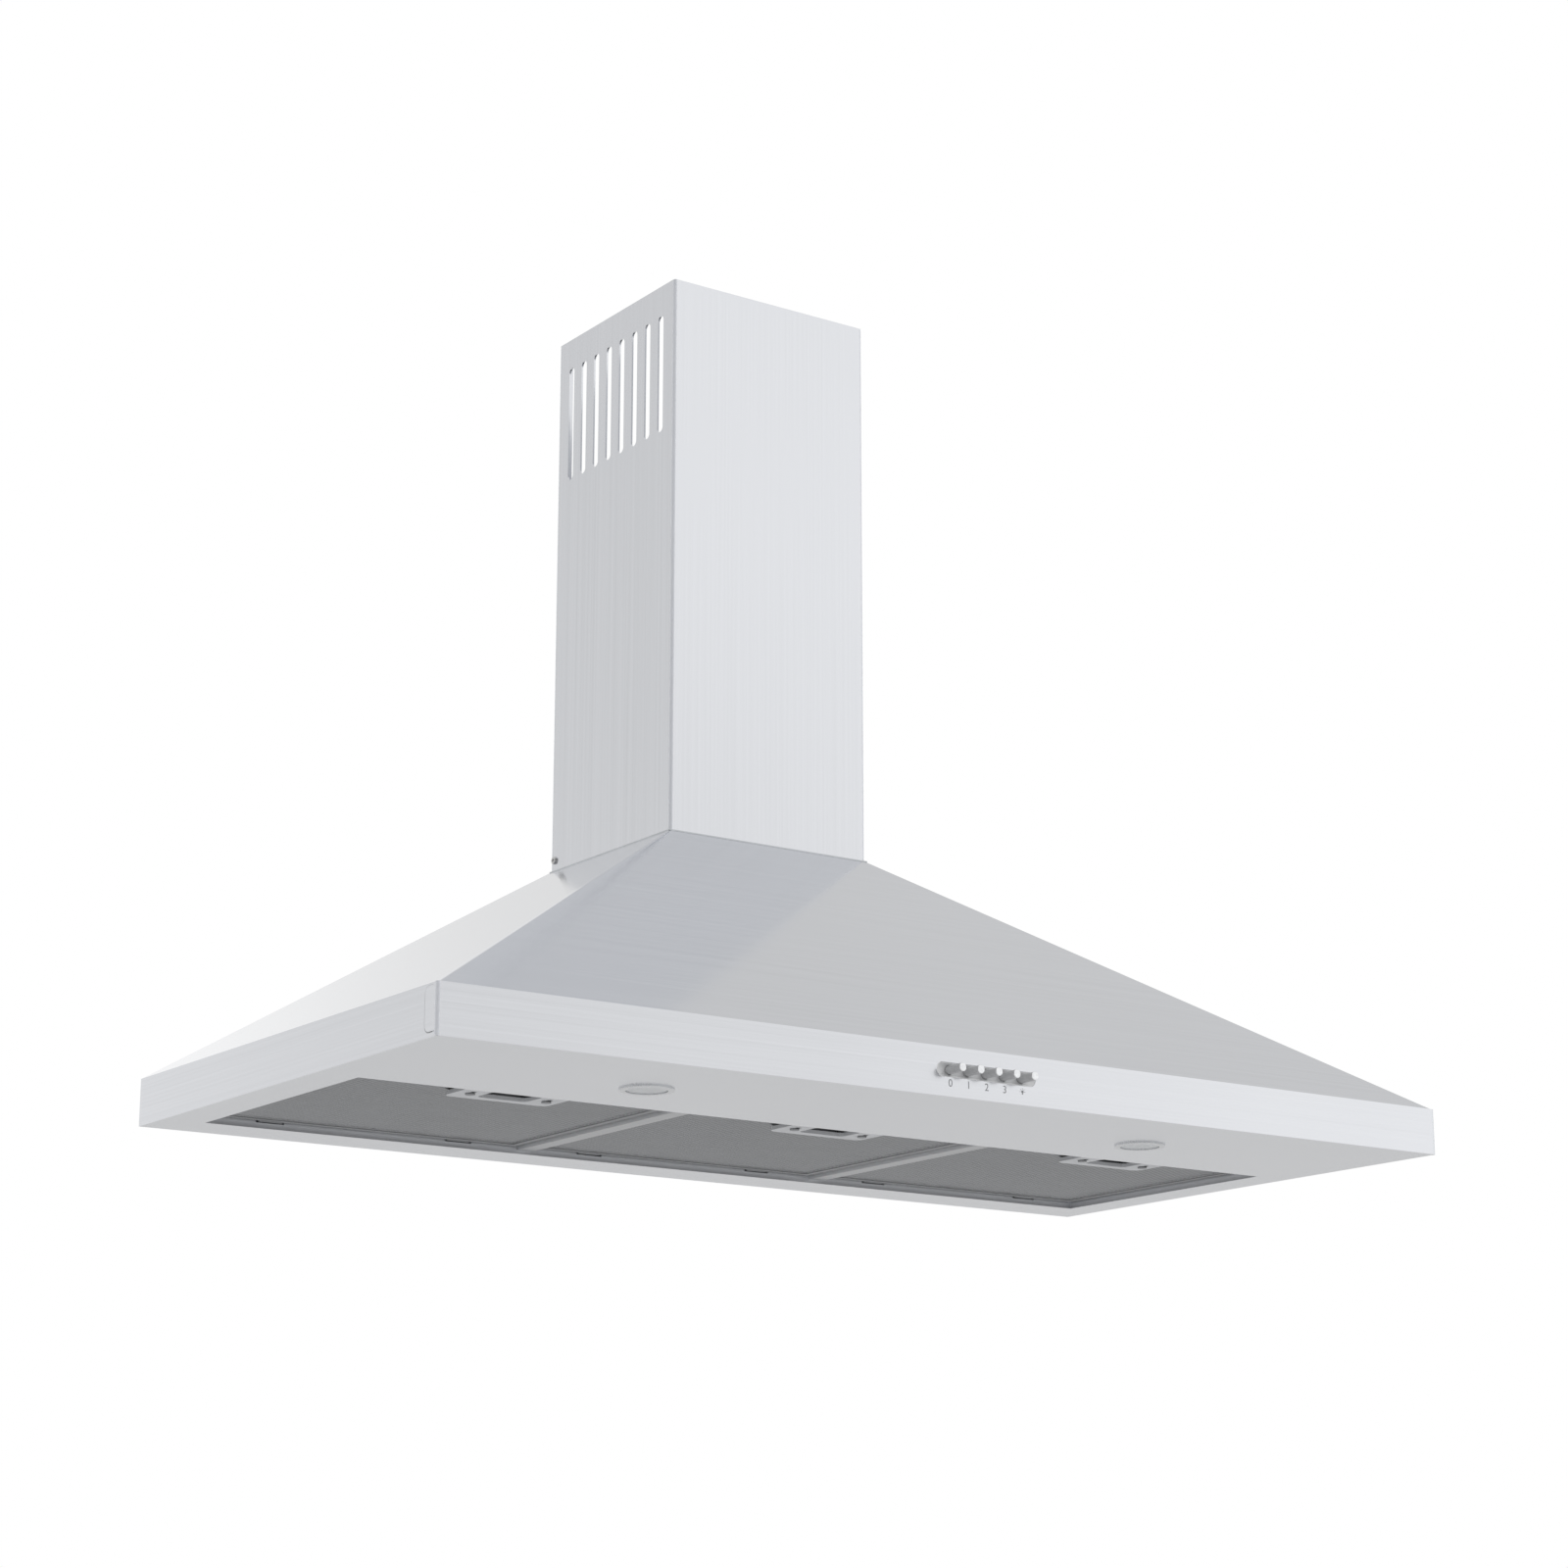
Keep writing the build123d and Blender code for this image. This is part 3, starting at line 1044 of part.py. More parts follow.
def lead(points, radius):
    """Round lead along straight runs joined by tangent arcs, each as large as its runs allow."""
    bends = []
    for before, corner, after in zip(points, points[1:], points[2:]):
        first = Vector(corner) - Vector(before)
        second = Vector(after) - Vector(corner)
        turn = math.radians(first.get_angle(second))
        bends.append(LEAD_SHARE * min(first.length, second.length) / math.tan(turn / 2))
    path = FilletPolyline(*points, radius=bends)
    tube = sweep(Plane(path @ 0, z_dir=path % 0) * Circle(radius), path=path)
    share = tube.volume / (math.pi * radius**2 * path.length)
    radii = ", ".join(f"{bend:.0f}" for bend in bends)
    print(f"lead of {path.length:.0f} mm, bends of {radii} mm, volume share {share:.4f}")
    return tube


def switch_lead():
    """Lead from the switch over the front lip and the right-hand rail to the underside of the control box."""
    z = LIP_HEIGHT + SEAT_GAP + SWITCH_LEAD_RADIUS
    start = BEZEL_REAR + SWITCH_BLOCK_DEPTH
    points = [
        (SWITCH_LEAD_X, start, SWITCH_HEIGHT),
        (SWITCH_LEAD_X, start + 32, SWITCH_HEIGHT),
        (38, -398, z),
        (72, -352, z),
        (112, -304, z),
        (140, -246, z),
        (150, -182, z),
        (156, -122, z),
        (170, -72, z + 2),
        (190, -40, z + 7),
        (200, -24, z + 18),
        (200, -24, BOX_BASE),
    ]
    return lead(points, SWITCH_LEAD_RADIUS)


def lamp_lead(x, end_z):
    """Lead from a lamp can over both lips to the underside of the piece that feeds the lamp."""
    z = LIP_HEIGHT + SEAT_GAP + LAMP_LEAD_RADIUS
    start = LAMP_Y + LAMP_CAN_RADIUS
    inward = [
        (0, start, LAMP_LEAD_RAISE),
        (0, start + 17, LAMP_LEAD_RAISE),
        (2, -342, 17),
        (6, -312, z + 4),
        (12, -270, z + 2),
        (16, -224, z),
        (16, -176, z),
        (12, -128, z),
        (8, -88, z),
        (8, -56, z + 1),
        (11, -31, z + 4),
        (12, -20, z + 19),
        (12, -20, end_z),
    ]
    return lead([(x - math.copysign(offset, x), y, height) for offset, y, height in inward], LAMP_LEAD_RADIUS)


def motor_lead():
    """Lead from the back of the blower to the side of the control box."""
    start = BLOWER_Y + OUTLET_RIGHT
    points = [
        (MOTOR_LEAD_X, start, MOTOR_LEAD_Z),
        (MOTOR_LEAD_X, start + 10, MOTOR_LEAD_Z),
        (62, -12, 109.5),
        (76, -9, 108.5),
        (100, -11, 106),
        (122, -16, 103.5),
        (142, -21, 101.5),
        (BOX_LEFT, -21, 101.5),
    ]
    return lead(points, MOTOR_LEAD_RADIUS)


def all_nodes():
    """Every piece under the name of its node."""
    nodes = {
        "canopy_shell": canopy_shell(),
        "front_fascia": front_fascia(),
        "bottom_frame": bottom_frame(),
        "back_panel": back_panel(),
        "top_plate": top_plate(),
        "lower_chimney": lower_chimney(),
        "upper_chimney": upper_chimney(),
        "chimney_wall_bracket": chimney_wall_bracket(),
        "chimney_screws": chimney_screws(),
        "outlet_collar": outlet_collar(),
        "damper_flap_front": damper_flap(-1),
        "damper_flap_rear": damper_flap(1),
        "blower_housing_left": blower_half(-1),
        "blower_housing_right": blower_half(1),
        "blower_neck": blower_neck(),
        "blower_screws": blower_screws(),
        "inlet_guard": inlet_guard(),
        "motor_bracket": motor_bracket(),
        "motor_screws": motor_screws(),
        "motor_body": motor_body(),
        "motor_shaft": motor_shaft(),
        "impeller": impeller(),
        "impeller_nut": impeller_nut(),
        "control_box": control_box(),
        "control_box_lid": control_box_lid(),
        "lid_screws": lid_screws(),
        "terminal_block": terminal_block(),
        "motor_capacitor": motor_capacitor(),
        "cable_gland": cable_gland(),
        "lamp_driver": lamp_driver(),
        "switch_lead": switch_lead(),
        "motor_lead": motor_lead(),
        "lamp_lead_left": lamp_lead(LAMP_CENTRES["left"], DRIVER_BASE),
        "lamp_lead_right": lamp_lead(LAMP_CENTRES["right"], BOX_BASE),
        "switch_block": switch_block(),
        "switch_bezel": switch_bezel(),
    }
    for side, x in LAMP_CENTRES.items():
        nodes[f"lamp_bezel_{side}"] = lamp_bezel(x)
        nodes[f"lamp_lens_{side}"] = lamp_lens(x)
        nodes[f"lamp_can_{side}"] = lamp_can(x)
        nodes[f"lamp_module_{side}"] = lamp_module(x)
    for name, x in zip(BUTTON_NAMES, BUTTON_PLACES):
        nodes[f"button_{name}"] = push_button(x)
    for i in range(FILTER_COUNT - 1):
        nodes[f"filter_rail_{i + 1}"] = filter_rail((BAY_CENTRES[i] + BAY_CENTRES[i + 1]) / 2)
    for i, centre in enumerate(BAY_CENTRES):
        nodes[f"filter_frame_{i + 1}"] = filter_frame(centre)
        nodes[f"filter_mesh_{i + 1}"] = filter_mesh(centre)
        nodes[f"filter_latch_{i + 1}"] = filter_latch(centre)
    return nodes


os.makedirs("parts", exist_ok=True)
for node, shape in all_nodes().items():
    solids = shape if isinstance(shape, list) else shape.solids()
    export_step(solids[0] if len(solids) == 1 else Compound(children=list(solids)), f"parts/{node}.step")
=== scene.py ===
import json
import math

import bmesh
import bpy
from mathutils import Matrix, Vector


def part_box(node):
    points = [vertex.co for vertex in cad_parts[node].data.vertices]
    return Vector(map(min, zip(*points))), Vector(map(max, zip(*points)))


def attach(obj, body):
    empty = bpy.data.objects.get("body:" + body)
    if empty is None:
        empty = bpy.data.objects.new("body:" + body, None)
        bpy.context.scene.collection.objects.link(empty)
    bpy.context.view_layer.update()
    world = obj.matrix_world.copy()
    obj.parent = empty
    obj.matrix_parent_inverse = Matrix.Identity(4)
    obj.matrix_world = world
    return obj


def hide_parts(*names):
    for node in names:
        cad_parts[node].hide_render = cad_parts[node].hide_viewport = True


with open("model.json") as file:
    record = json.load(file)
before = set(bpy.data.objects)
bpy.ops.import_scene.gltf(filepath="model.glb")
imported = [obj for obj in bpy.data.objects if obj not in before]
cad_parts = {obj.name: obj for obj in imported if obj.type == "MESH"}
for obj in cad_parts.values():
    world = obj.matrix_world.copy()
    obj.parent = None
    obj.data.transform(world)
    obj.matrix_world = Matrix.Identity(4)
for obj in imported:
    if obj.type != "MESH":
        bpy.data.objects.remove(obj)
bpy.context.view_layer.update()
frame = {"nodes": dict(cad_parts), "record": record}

# Camera of the photograph
CAMERA_PLACE = (-1.67345, -2.62250, -0.44787)
CAMERA_LOOK = (0.5531859, 0.7932766, 0.2543571)
CAMERA_LENS = 78.49
SENSOR_WIDTH = 36.0

# Studio floor, in metres; it fades into white between two distances from its middle
FLOOR_LEVEL = -2.6
FLOOR_REACH = 40.0
FADE_START = 3.5
FADE_END = 9.0

# Light that matt surfaces get from all around, and the soft key lamp
AMBIENT = 0.74
KEY_PLACE = (2.4, -3.2, 3.0)
KEY_AIM = (0.0, -0.25, 0.3)
KEY_WATTS = 55.0
KEY_SIZE = 2.6

# Expanded mesh and pleated core of the grease filters and the latch seat that is cut out; lengths in metres
CELL_LONG = 0.0100
CELL_SHORT = 0.0058
STRAND = 0.0013
SHEET = 0.0004
TWIST = 0.0005
SLIVER_SHARE = 0.12
CORE_PLEATS = 46
CORE_ROWS = 6
PLEAT_RISE = 0.0009
SEAT_HALF = 0.0263
SEAT_REAR = -0.2672

# Hemmed inner edge of each filter's channel, measured from the box of its mesh, in a paler aluminium as
# painted light over the shade of the gap
HEM_INSET = 0.0059
HEM_WIDTH = 0.0009
HEM_LOW = -0.0003
HEM_HIGH = 0.0009

# Upright faces of the frame's lips and of the rails: painted shade low on the lips, painted light on the
# rail sides; a tone, full up to one height and gone at the next
LIP_PAINTED_SHADE = (0.74, 0.0012, 0.0040)
RAIL_SIDE_PAINTED_LIGHT = (1.6, 0.018, 0.020)

# Painted highlight on the rounded upright edges of the fascia and the chimney: their tone against the base
FOLD_PAINTED_HIGHLIGHT = 1.18

# How far a face has to look along an axis to count: sides, level faces, button caps, both ways on a fold
SIDE_FACING = 0.3
LEVEL_FACING = 0.5
CAP_FACING = 0.6
FOLD_FACING = 0.05

# Push buttons and the dished plate around them, with painted shade down in the dish and painted light at
# its rim and ends; the depths are from the front of the fascia
BUTTON_PITCH = 0.0182
BUTTON_LEVEL = 0.0214
RING_RATE = 16000.0
DISH_RIM = 0.0003
DISH_FLOOR = 0.0014
DISH_ENDS = (0.040, 0.049)

# Printed marks under the push buttons
MARK_LEVEL = 0.0106
MARK_THICK = 0.00005
LETTER_HEIGHT = 0.0064
TYPE_PER_HEIGHT = 1.35
BULB_RADIUS = 0.0012
BULB_RISE = 0.0002
CAP_DROP = 0.0015
CAP_SIZE = (0.0011, 0.0009)
RAY_COUNT = 5
RAY_STEP = 45
RAY_REACH = 0.0024
RAY_SIZE = (0.0012, 0.00035)

# Cross recesses of the chimney screws, drawn as flat crosses of painted shadow
RECESS_SIZE = (0.0036, 0.0008)
RECESS_THICK = 0.00004
RECESS_PROUD = 0.00001

# Folded tabs of the fascia and the shadow line round them
TAB_LENGTH = 0.0175
TAB_LOW = 0.004
TAB_HIGH = 0.038
TAB_CORNER = 0.006
SEAM_BESIDE = 0.0006
SEAM_BEHIND = 0.0021
SEAM_THICK = 0.00005

SIDES = ("left", "middle", "right")


def math_node(nodes, links, kind, first, second):
    """One step of arithmetic; a plain number may stand for either value."""
    node = nodes.new("ShaderNodeMath")
    node.operation = kind
    for socket, value in zip(node.inputs, (first, second)):
        if isinstance(value, (int, float)):
            socket.default_value = value
        else:
            links.new(value, socket)
    return node.outputs["Value"]


class Finish:
    """A procedural material while its nodes are being joined."""

    def __init__(self, name, metallic=0.0, roughness=0.5):
        self.material = bpy.data.materials.new(name)
        self.material.use_nodes = True
        tree = self.material.node_tree
        self.nodes, self.links = tree.nodes, tree.links
        self.shader = self.nodes["Principled BSDF"]
        self.shader.inputs["Metallic"].default_value = metallic
        self.shader.inputs["Roughness"].default_value = roughness
        self.place = self.nodes.new("ShaderNodeTexCoord")

    def at(self, scale):
        """Object coordinates, stretched to a number of repeats a metre."""
        mapping = self.nodes.new("ShaderNodeMapping")
        mapping.inputs["Scale"].default_value = scale
        self.links.new(self.place.outputs["Object"], mapping.inputs["Vector"])
        return mapping.outputs["Vector"]

    def noise(self, scale, detail=2.0, rough=0.5):
        """Soft noise with so many spots a metre along each axis."""
        texture = self.nodes.new("ShaderNodeTexNoise")
        texture.inputs["Scale"].default_value = 1.0
        texture.inputs["Detail"].default_value = detail
        texture.inputs["Roughness"].default_value = rough
        self.links.new(self.at(scale), texture.inputs["Vector"])
        return texture.outputs["Fac"]

    def cells(self, scale, feature="F1"):
        """Voronoi cells with so many a metre: their distance and a random shade."""
        texture = self.nodes.new("ShaderNodeTexVoronoi")
        texture.feature = feature
        texture.inputs["Scale"].default_value = 1.0
        self.links.new(self.at(scale), texture.inputs["Vector"])
        split = self.nodes.new("ShaderNodeSeparateColor")
        self.links.new(texture.outputs["Color"], split.inputs["Color"])
        return texture.outputs["Distance"], split.outputs["Red"]

    def number(self, kind, first, second=0.0):
        """One step of arithmetic in this material."""
        return math_node(self.nodes, self.links, kind, first, second)

    def weigh(self, first, second, share):
        """A mean of two values, weighed by the first one's share."""
        part = self.number("MULTIPLY", first, share)
        return self.number("ADD", part, self.number("MULTIPLY", second, 1.0 - share))

    def between(self, factor, low, high, start=0.3, end=0.7):
        """A value that runs from low to high as the factor goes from start to end."""
        node = self.nodes.new("ShaderNodeMapRange")
        node.inputs["From Min"].default_value = start
        node.inputs["From Max"].default_value = end
        node.inputs["To Min"].default_value = low
        node.inputs["To Max"].default_value = high
        self.links.new(factor, node.inputs["Value"])
        return node.outputs["Result"]

    def blend(self, factor, dark, light):
        """A colour between two, by the factor."""
        node = self.nodes.new("ShaderNodeMix")
        node.data_type = "RGBA"
        for index, colour in ((6, dark), (7, light)):
            if isinstance(colour, tuple):
                node.inputs[index].default_value = (*colour, 1.0)
            else:
                self.links.new(colour, node.inputs[index])
        self.links.new(factor, node.inputs[0])
        return node.outputs[2]

    def mottled(self, factor, base, dark, light):
        """A base colour that goes from darker to lighter over the middle of the factor."""
        return self.blend(self.between(factor, 0.0, 1.0), shade(base, dark), shade(base, light))

    def pick(self, factor, first, second):
        """The first value where the factor is 0, the second where it is 1."""
        node = self.nodes.new("ShaderNodeMix")
        node.data_type = "FLOAT"
        self.links.new(factor, node.inputs[0])
        self.links.new(first, node.inputs[2])
        self.links.new(second, node.inputs[3])
        return node.outputs[0]

    def on_side_sheets(self):
        """1 on sheets that face left or right, 0 on those that face the front, top or bottom."""
        return self.number("GREATER_THAN", self.facing("X"), SIDE_FACING)

    def on_level_faces(self):
        """1 on faces that look straight up or down, 0 on upright lips and folds."""
        return self.number("GREATER_THAN", self.facing("Z"), LEVEL_FACING)

    def on_upright_folds(self):
        """1 on the rounded upright edges between two sheets, 0 on the sheets themselves."""
        both_ways = self.number("MULTIPLY", self.facing("X"), self.facing("Y"))
        return self.number("GREATER_THAN", both_ways, FOLD_FACING)

    def facing(self, axis):
        """How far a face looks along an axis, either way."""
        return self.number("ABSOLUTE", self.along(axis, "Normal"))

    def along(self, axis, kind="Object"):
        """The place along an axis of the object, or that part of the surface normal."""
        split = self.nodes.new("ShaderNodeSeparateXYZ")
        self.links.new(self.place.outputs[kind], split.inputs["Vector"])
        return split.outputs[axis]

    def colour(self, socket):
        """Gives the surface its colour."""
        self.links.new(socket, self.shader.inputs["Base Color"])

    def roughness(self, socket):
        """Gives the surface its roughness."""
        self.links.new(socket, self.shader.inputs["Roughness"])

    def bump(self, height, strength, distance):
        """Raises the surface by a height pattern; the distance is in metres."""
        node = self.nodes.new("ShaderNodeBump")
        node.inputs["Strength"].default_value = strength
        node.inputs["Distance"].default_value = distance
        self.links.new(height, node.inputs["Height"])
        self.links.new(node.outputs["Normal"], self.shader.inputs["Normal"])


def shade(colour, factor):
    """The same colour, lighter or darker."""
    return tuple(min(1.0, channel * factor) for channel in colour)


def brushed_steel(
    name, base, grain, side_grain=None, rough=(0.17, 0.23), lip_rough=None, upright=None, fold_rough_and_painted_highlight=None
):
    """Sheet steel with a fine brushed grain; side sheets may run another way, lips and folds be rougher;
    upright faces may carry painted shade or painted light low down, and folds a painted highlight.
    """
    finish = Finish(name, metallic=1.0)
    streaks = finish.noise(grain, detail=3.0, rough=0.6)
    if side_grain:
        crossways = finish.noise(side_grain, detail=3.0, rough=0.6)
        streaks = finish.pick(finish.on_side_sheets(), streaks, crossways)
    clouds = finish.noise((4.0, 4.0, 4.0), detail=2.0)
    tone = finish.mottled(finish.weigh(streaks, clouds, 0.75), base, 0.965, 1.03)
    # Painted shade low on the walls of the frame's lips, painted light on the rail sides: a tone on upright
    # faces up to a height
    if upright:
        factor, low, high = upright
        low_down = finish.between(finish.along("Z"), 1.0, 0.0, low, high)
        standing = finish.number("SUBTRACT", 1.0, finish.on_level_faces())
        tone = finish.blend(finish.number("MULTIPLY", low_down, standing), tone, shade(base, factor))
    # Painted highlight on the rounded upright folds
    if fold_rough_and_painted_highlight:
        tone = finish.blend(finish.on_upright_folds(), tone, shade(base, FOLD_PAINTED_HIGHLIGHT))
    finish.colour(tone)
    dull = finish.between(streaks, *rough)
    if lip_rough:
        dull = finish.pick(finish.on_level_faces(), finish.between(streaks, *lip_rough), dull)
    if fold_rough_and_painted_highlight:
        dull = finish.pick(finish.on_upright_folds(), dull, finish.between(streaks, *fold_rough_and_painted_highlight))
    finish.roughness(dull)
    finish.bump(streaks, 0.05, 0.0001)
    return finish.material


def galvanised_steel(name, base):
    """Zinc-coated sheet with its spangle."""
    finish = Finish(name, metallic=1.0)
    _, flake = finish.cells((70.0, 70.0, 70.0))
    fine = finish.noise((900.0, 900.0, 900.0), detail=3.0)
    finish.colour(finish.blend(finish.weigh(flake, fine, 0.6), shade(base, 0.84), shade(base, 1.12)))
    finish.roughness(finish.between(flake, 0.34, 0.52, 0.0, 1.0))
    finish.bump(fine, 0.08, 0.0001)
    return finish.material


def plated_steel(name, base, rough=(0.22, 0.38)):
    """Turned and plated small steel parts, with slight handling marks."""
    finish = Finish(name, metallic=1.0)
    wear = finish.noise((300.0, 300.0, 300.0), detail=4.0, rough=0.65)
    finish.colour(finish.mottled(wear, base, 0.82, 1.08))
    finish.roughness(finish.between(wear, *rough))
    finish.bump(wear, 0.06, 0.0001)
    return finish.material


def dull_aluminium(name, base, rough):
    """Mill-finish aluminium with fine rolling lines and dull patches."""
    finish = Finish(name, metallic=1.0)
    rolled = finish.noise((30.0, 1400.0, 1400.0), detail=3.0)
    dulled = finish.noise((40.0, 40.0, 40.0), detail=4.0, rough=0.6)
    finish.colour(finish.mottled(finish.weigh(rolled, dulled, 0.5), base, 0.86, 1.1))
    finish.roughness(finish.between(dulled, *rough))
    finish.bump(rolled, 0.08, 0.0001)
    return finish.material


def moulded_plastic(name, base, grain=1800.0):
    """Injection-moulded plastic with a fine spark-eroded grain."""
    finish = Finish(name)
    pits, _ = finish.cells((grain, grain, grain))
    flow = finish.noise((25.0, 25.0, 25.0), detail=2.0)
    finish.colour(finish.mottled(flow, base, 0.92, 1.07))
    finish.roughness(finish.between(flow, 0.42, 0.56))
    finish.bump(pits, 0.12, 0.0001)
    return finish.material


def painted_casting(name, base):
    """Stoved paint on the motor, with the slight skin of a sprayed coat."""
    finish = Finish(name)
    skin = finish.noise((700.0, 700.0, 700.0), detail=2.0)
    dust = finish.noise((60.0, 60.0, 60.0), detail=4.0, rough=0.65)
    finish.colour(finish.mottled(dust, base, 0.88, 1.1))
    finish.roughness(finish.between(dust, 0.32, 0.46))
    finish.bump(skin, 0.12, 0.0002)
    return finish.material


def turned_buttons(name, cap, stem):
    """Push buttons with a turned metal cap, ringed about the middle of each button, on a moulded stem."""
    finish = Finish(name)
    wrap = finish.nodes.new("ShaderNodeMath")
    wrap.operation = "WRAP"
    wrap.inputs[1].default_value = BUTTON_PITCH / 2
    wrap.inputs[2].default_value = -BUTTON_PITCH / 2
    finish.links.new(finish.along("X"), wrap.inputs[0])
    height = finish.number("SUBTRACT", finish.along("Z"), BUTTON_LEVEL)
    across = finish.number("POWER", wrap.outputs["Value"], 2.0)
    squares = finish.number("ADD", across, finish.number("POWER", height, 2.0))
    rings = finish.number("SINE", finish.number("MULTIPLY", finish.number("SQRT", squares), RING_RATE))
    wear = finish.noise((500.0, 500.0, 500.0), detail=3.0)
    capped = finish.number("GREATER_THAN", finish.facing("Y"), CAP_FACING)
    moulded = finish.mottled(wear, stem, 0.92, 1.06)
    turned = finish.mottled(wear, cap, 0.92, 1.06)
    finish.colour(finish.blend(capped, moulded, turned))
    stem_rough = finish.between(wear, 0.42, 0.52)
    cap_rough = finish.between(wear, 0.10, 0.16)
    finish.roughness(finish.pick(capped, stem_rough, cap_rough))
    finish.links.new(capped, finish.shader.inputs["Metallic"])
    finish.bump(rings, 0.05, 0.00005)
    return finish.material


def painted_shade_dish_plastic(name, rim_painted_light, base, front):
    """Moulded plate, paler at its rim and towards its ends than down in its dish: painted shade in the
    dish, painted light at the rim and ends.
    """
    finish = Finish(name)
    pits, _ = finish.cells((1800.0, 1800.0, 1800.0))
    flow = finish.noise((25.0, 25.0, 25.0), detail=2.0)
    # Painted shade deeper in the dish, painted light towards its ends
    edges = finish.between(finish.along("Y"), 1.0, 0.0, front + DISH_RIM, front + DISH_FLOOR)
    ends = finish.between(finish.number("ABSOLUTE", finish.along("X")), 0.0, 1.0, *DISH_ENDS)
    finish.colour(finish.blend(finish.number("MAXIMUM", edges, ends), base, rim_painted_light))
    finish.roughness(finish.between(flow, 0.32, 0.42))
    finish.bump(pits, 0.12, 0.0001)
    return finish.material


def frosted_lens(name, base):
    """Frosted lamp glass with a finely pebbled surface."""
    finish = Finish(name, roughness=0.35)
    pebbles, tone = finish.cells((900.0, 900.0, 900.0), "SMOOTH_F1")
    finish.colour(finish.blend(tone, shade(base, 0.94), shade(base, 1.05)))
    finish.bump(pebbles, 0.3, 0.0003)
    finish.shader.inputs["Transmission Weight"].default_value = 0.25
    finish.shader.inputs["IOR"].default_value = 1.46
    return finish.material


def cable_sheath(name, base):
    """Extruded sheath, slightly uneven."""
    finish = Finish(name)
    drawn = finish.noise((120.0, 120.0, 120.0), detail=3.0)
    finish.colour(finish.mottled(drawn, base, 0.9, 1.08))
    finish.roughness(finish.between(drawn, 0.42, 0.55))
    finish.bump(drawn, 0.08, 0.0002)
    return finish.material


def printed_ink(name, base):
    """Screen-printed ink, slightly uneven."""
    finish = Finish(name)
    coat = finish.noise((1500.0, 1500.0, 1500.0), detail=2.0)
    finish.colour(finish.mottled(coat, base, 0.85, 1.15))
    finish.roughness(finish.between(coat, 0.45, 0.6))
    return finish.material


# Colours, and the repeats a metre of a grain that runs along each axis
STEEL = (0.745, 0.757, 0.785)
ALONG_X = (1.6, 520.0, 520.0)
ALONG_Y = (520.0, 1.6, 520.0)
ALONG_Z = (520.0, 520.0, 1.6)

canopy_steel = brushed_steel("canopy_steel", STEEL, ALONG_X, ALONG_Y, rough=(0.10, 0.15))
# The fascia's rounded upright folds get a painted highlight
fascia_steel = brushed_steel("fascia_steel", STEEL, ALONG_X, ALONG_Y, fold_rough_and_painted_highlight=(0.70, 0.80))
# The walls of the frame's lips get painted shade towards their bottom edge
frame_steel = brushed_steel("frame_steel", STEEL, ALONG_X, lip_rough=(0.40, 0.48), upright=LIP_PAINTED_SHADE)
# The chimney's rounded upright folds get a painted highlight
chimney_steel = brushed_steel("chimney_steel", STEEL, ALONG_Z, fold_rough_and_painted_highlight=(0.70, 0.80))
# The upright sides of the rails get painted light
rail_steel = brushed_steel(
    "rail_steel", (0.46, 0.465, 0.475), ALONG_Y,
    rough=(0.30, 0.40), lip_rough=(0.55, 0.65), upright=RAIL_SIDE_PAINTED_LIGHT,
)
lamp_steel = brushed_steel("lamp_steel", (0.68, 0.69, 0.705), ALONG_X, rough=(0.24, 0.32))
zinc_sheet = galvanised_steel("zinc_sheet", (0.58, 0.60, 0.62))
plated_screws = plated_steel("plated_screws", (0.60, 0.60, 0.60))
filter_channel = dull_aluminium("filter_channel", (0.37, 0.375, 0.385), rough=(0.60, 0.72))
# Paler copy of the channel's aluminium: painted light on the hem over the shade of the gap
filter_hem_painted_light = dull_aluminium("filter_hem_painted_light", (0.66, 0.665, 0.675), rough=(0.60, 0.72))
filter_strands = dull_aluminium("filter_strands", (0.335, 0.34, 0.35), rough=(0.34, 0.48))
filter_layers = dull_aluminium("filter_layers", (0.125, 0.127, 0.133), rough=(0.5, 0.65))
latch_plastic = moulded_plastic("latch_plastic", (0.56, 0.57, 0.59))
# Painted shade down in the bezel's dish, painted light at its rim and ends
bezel_plastic = painted_shade_dish_plastic(
    "bezel_plastic", (0.74, 0.745, 0.755), (0.50, 0.505, 0.515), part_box("front_fascia")[0].y
)
switch_plastic = moulded_plastic("switch_plastic", (0.06, 0.06, 0.065))
blower_plastic = moulded_plastic("blower_plastic", (0.09, 0.09, 0.095), grain=1200.0)
pale_plastic = moulded_plastic("pale_plastic", (0.72, 0.72, 0.70))
button_metal = turned_buttons("button_metal", (0.84, 0.85, 0.865), (0.47, 0.475, 0.485))
motor_paint = painted_casting("motor_paint", (0.28, 0.29, 0.30))
lead_sheath = cable_sheath("lead_sheath", (0.50, 0.50, 0.50))
lamp_glass = frosted_lens("lamp_glass", (0.76, 0.78, 0.80))
mark_ink = printed_ink("mark_ink", (0.25, 0.255, 0.265))
# Painted shadow in the tab seams and in the screws' cross recesses, made with the plated finish
seam_shadow = plated_steel("seam_shadow", (0.42, 0.425, 0.435), rough=(0.5, 0.6))
recess_shadow = plated_steel("recess_shadow", (0.10, 0.10, 0.10), rough=(0.5, 0.6))

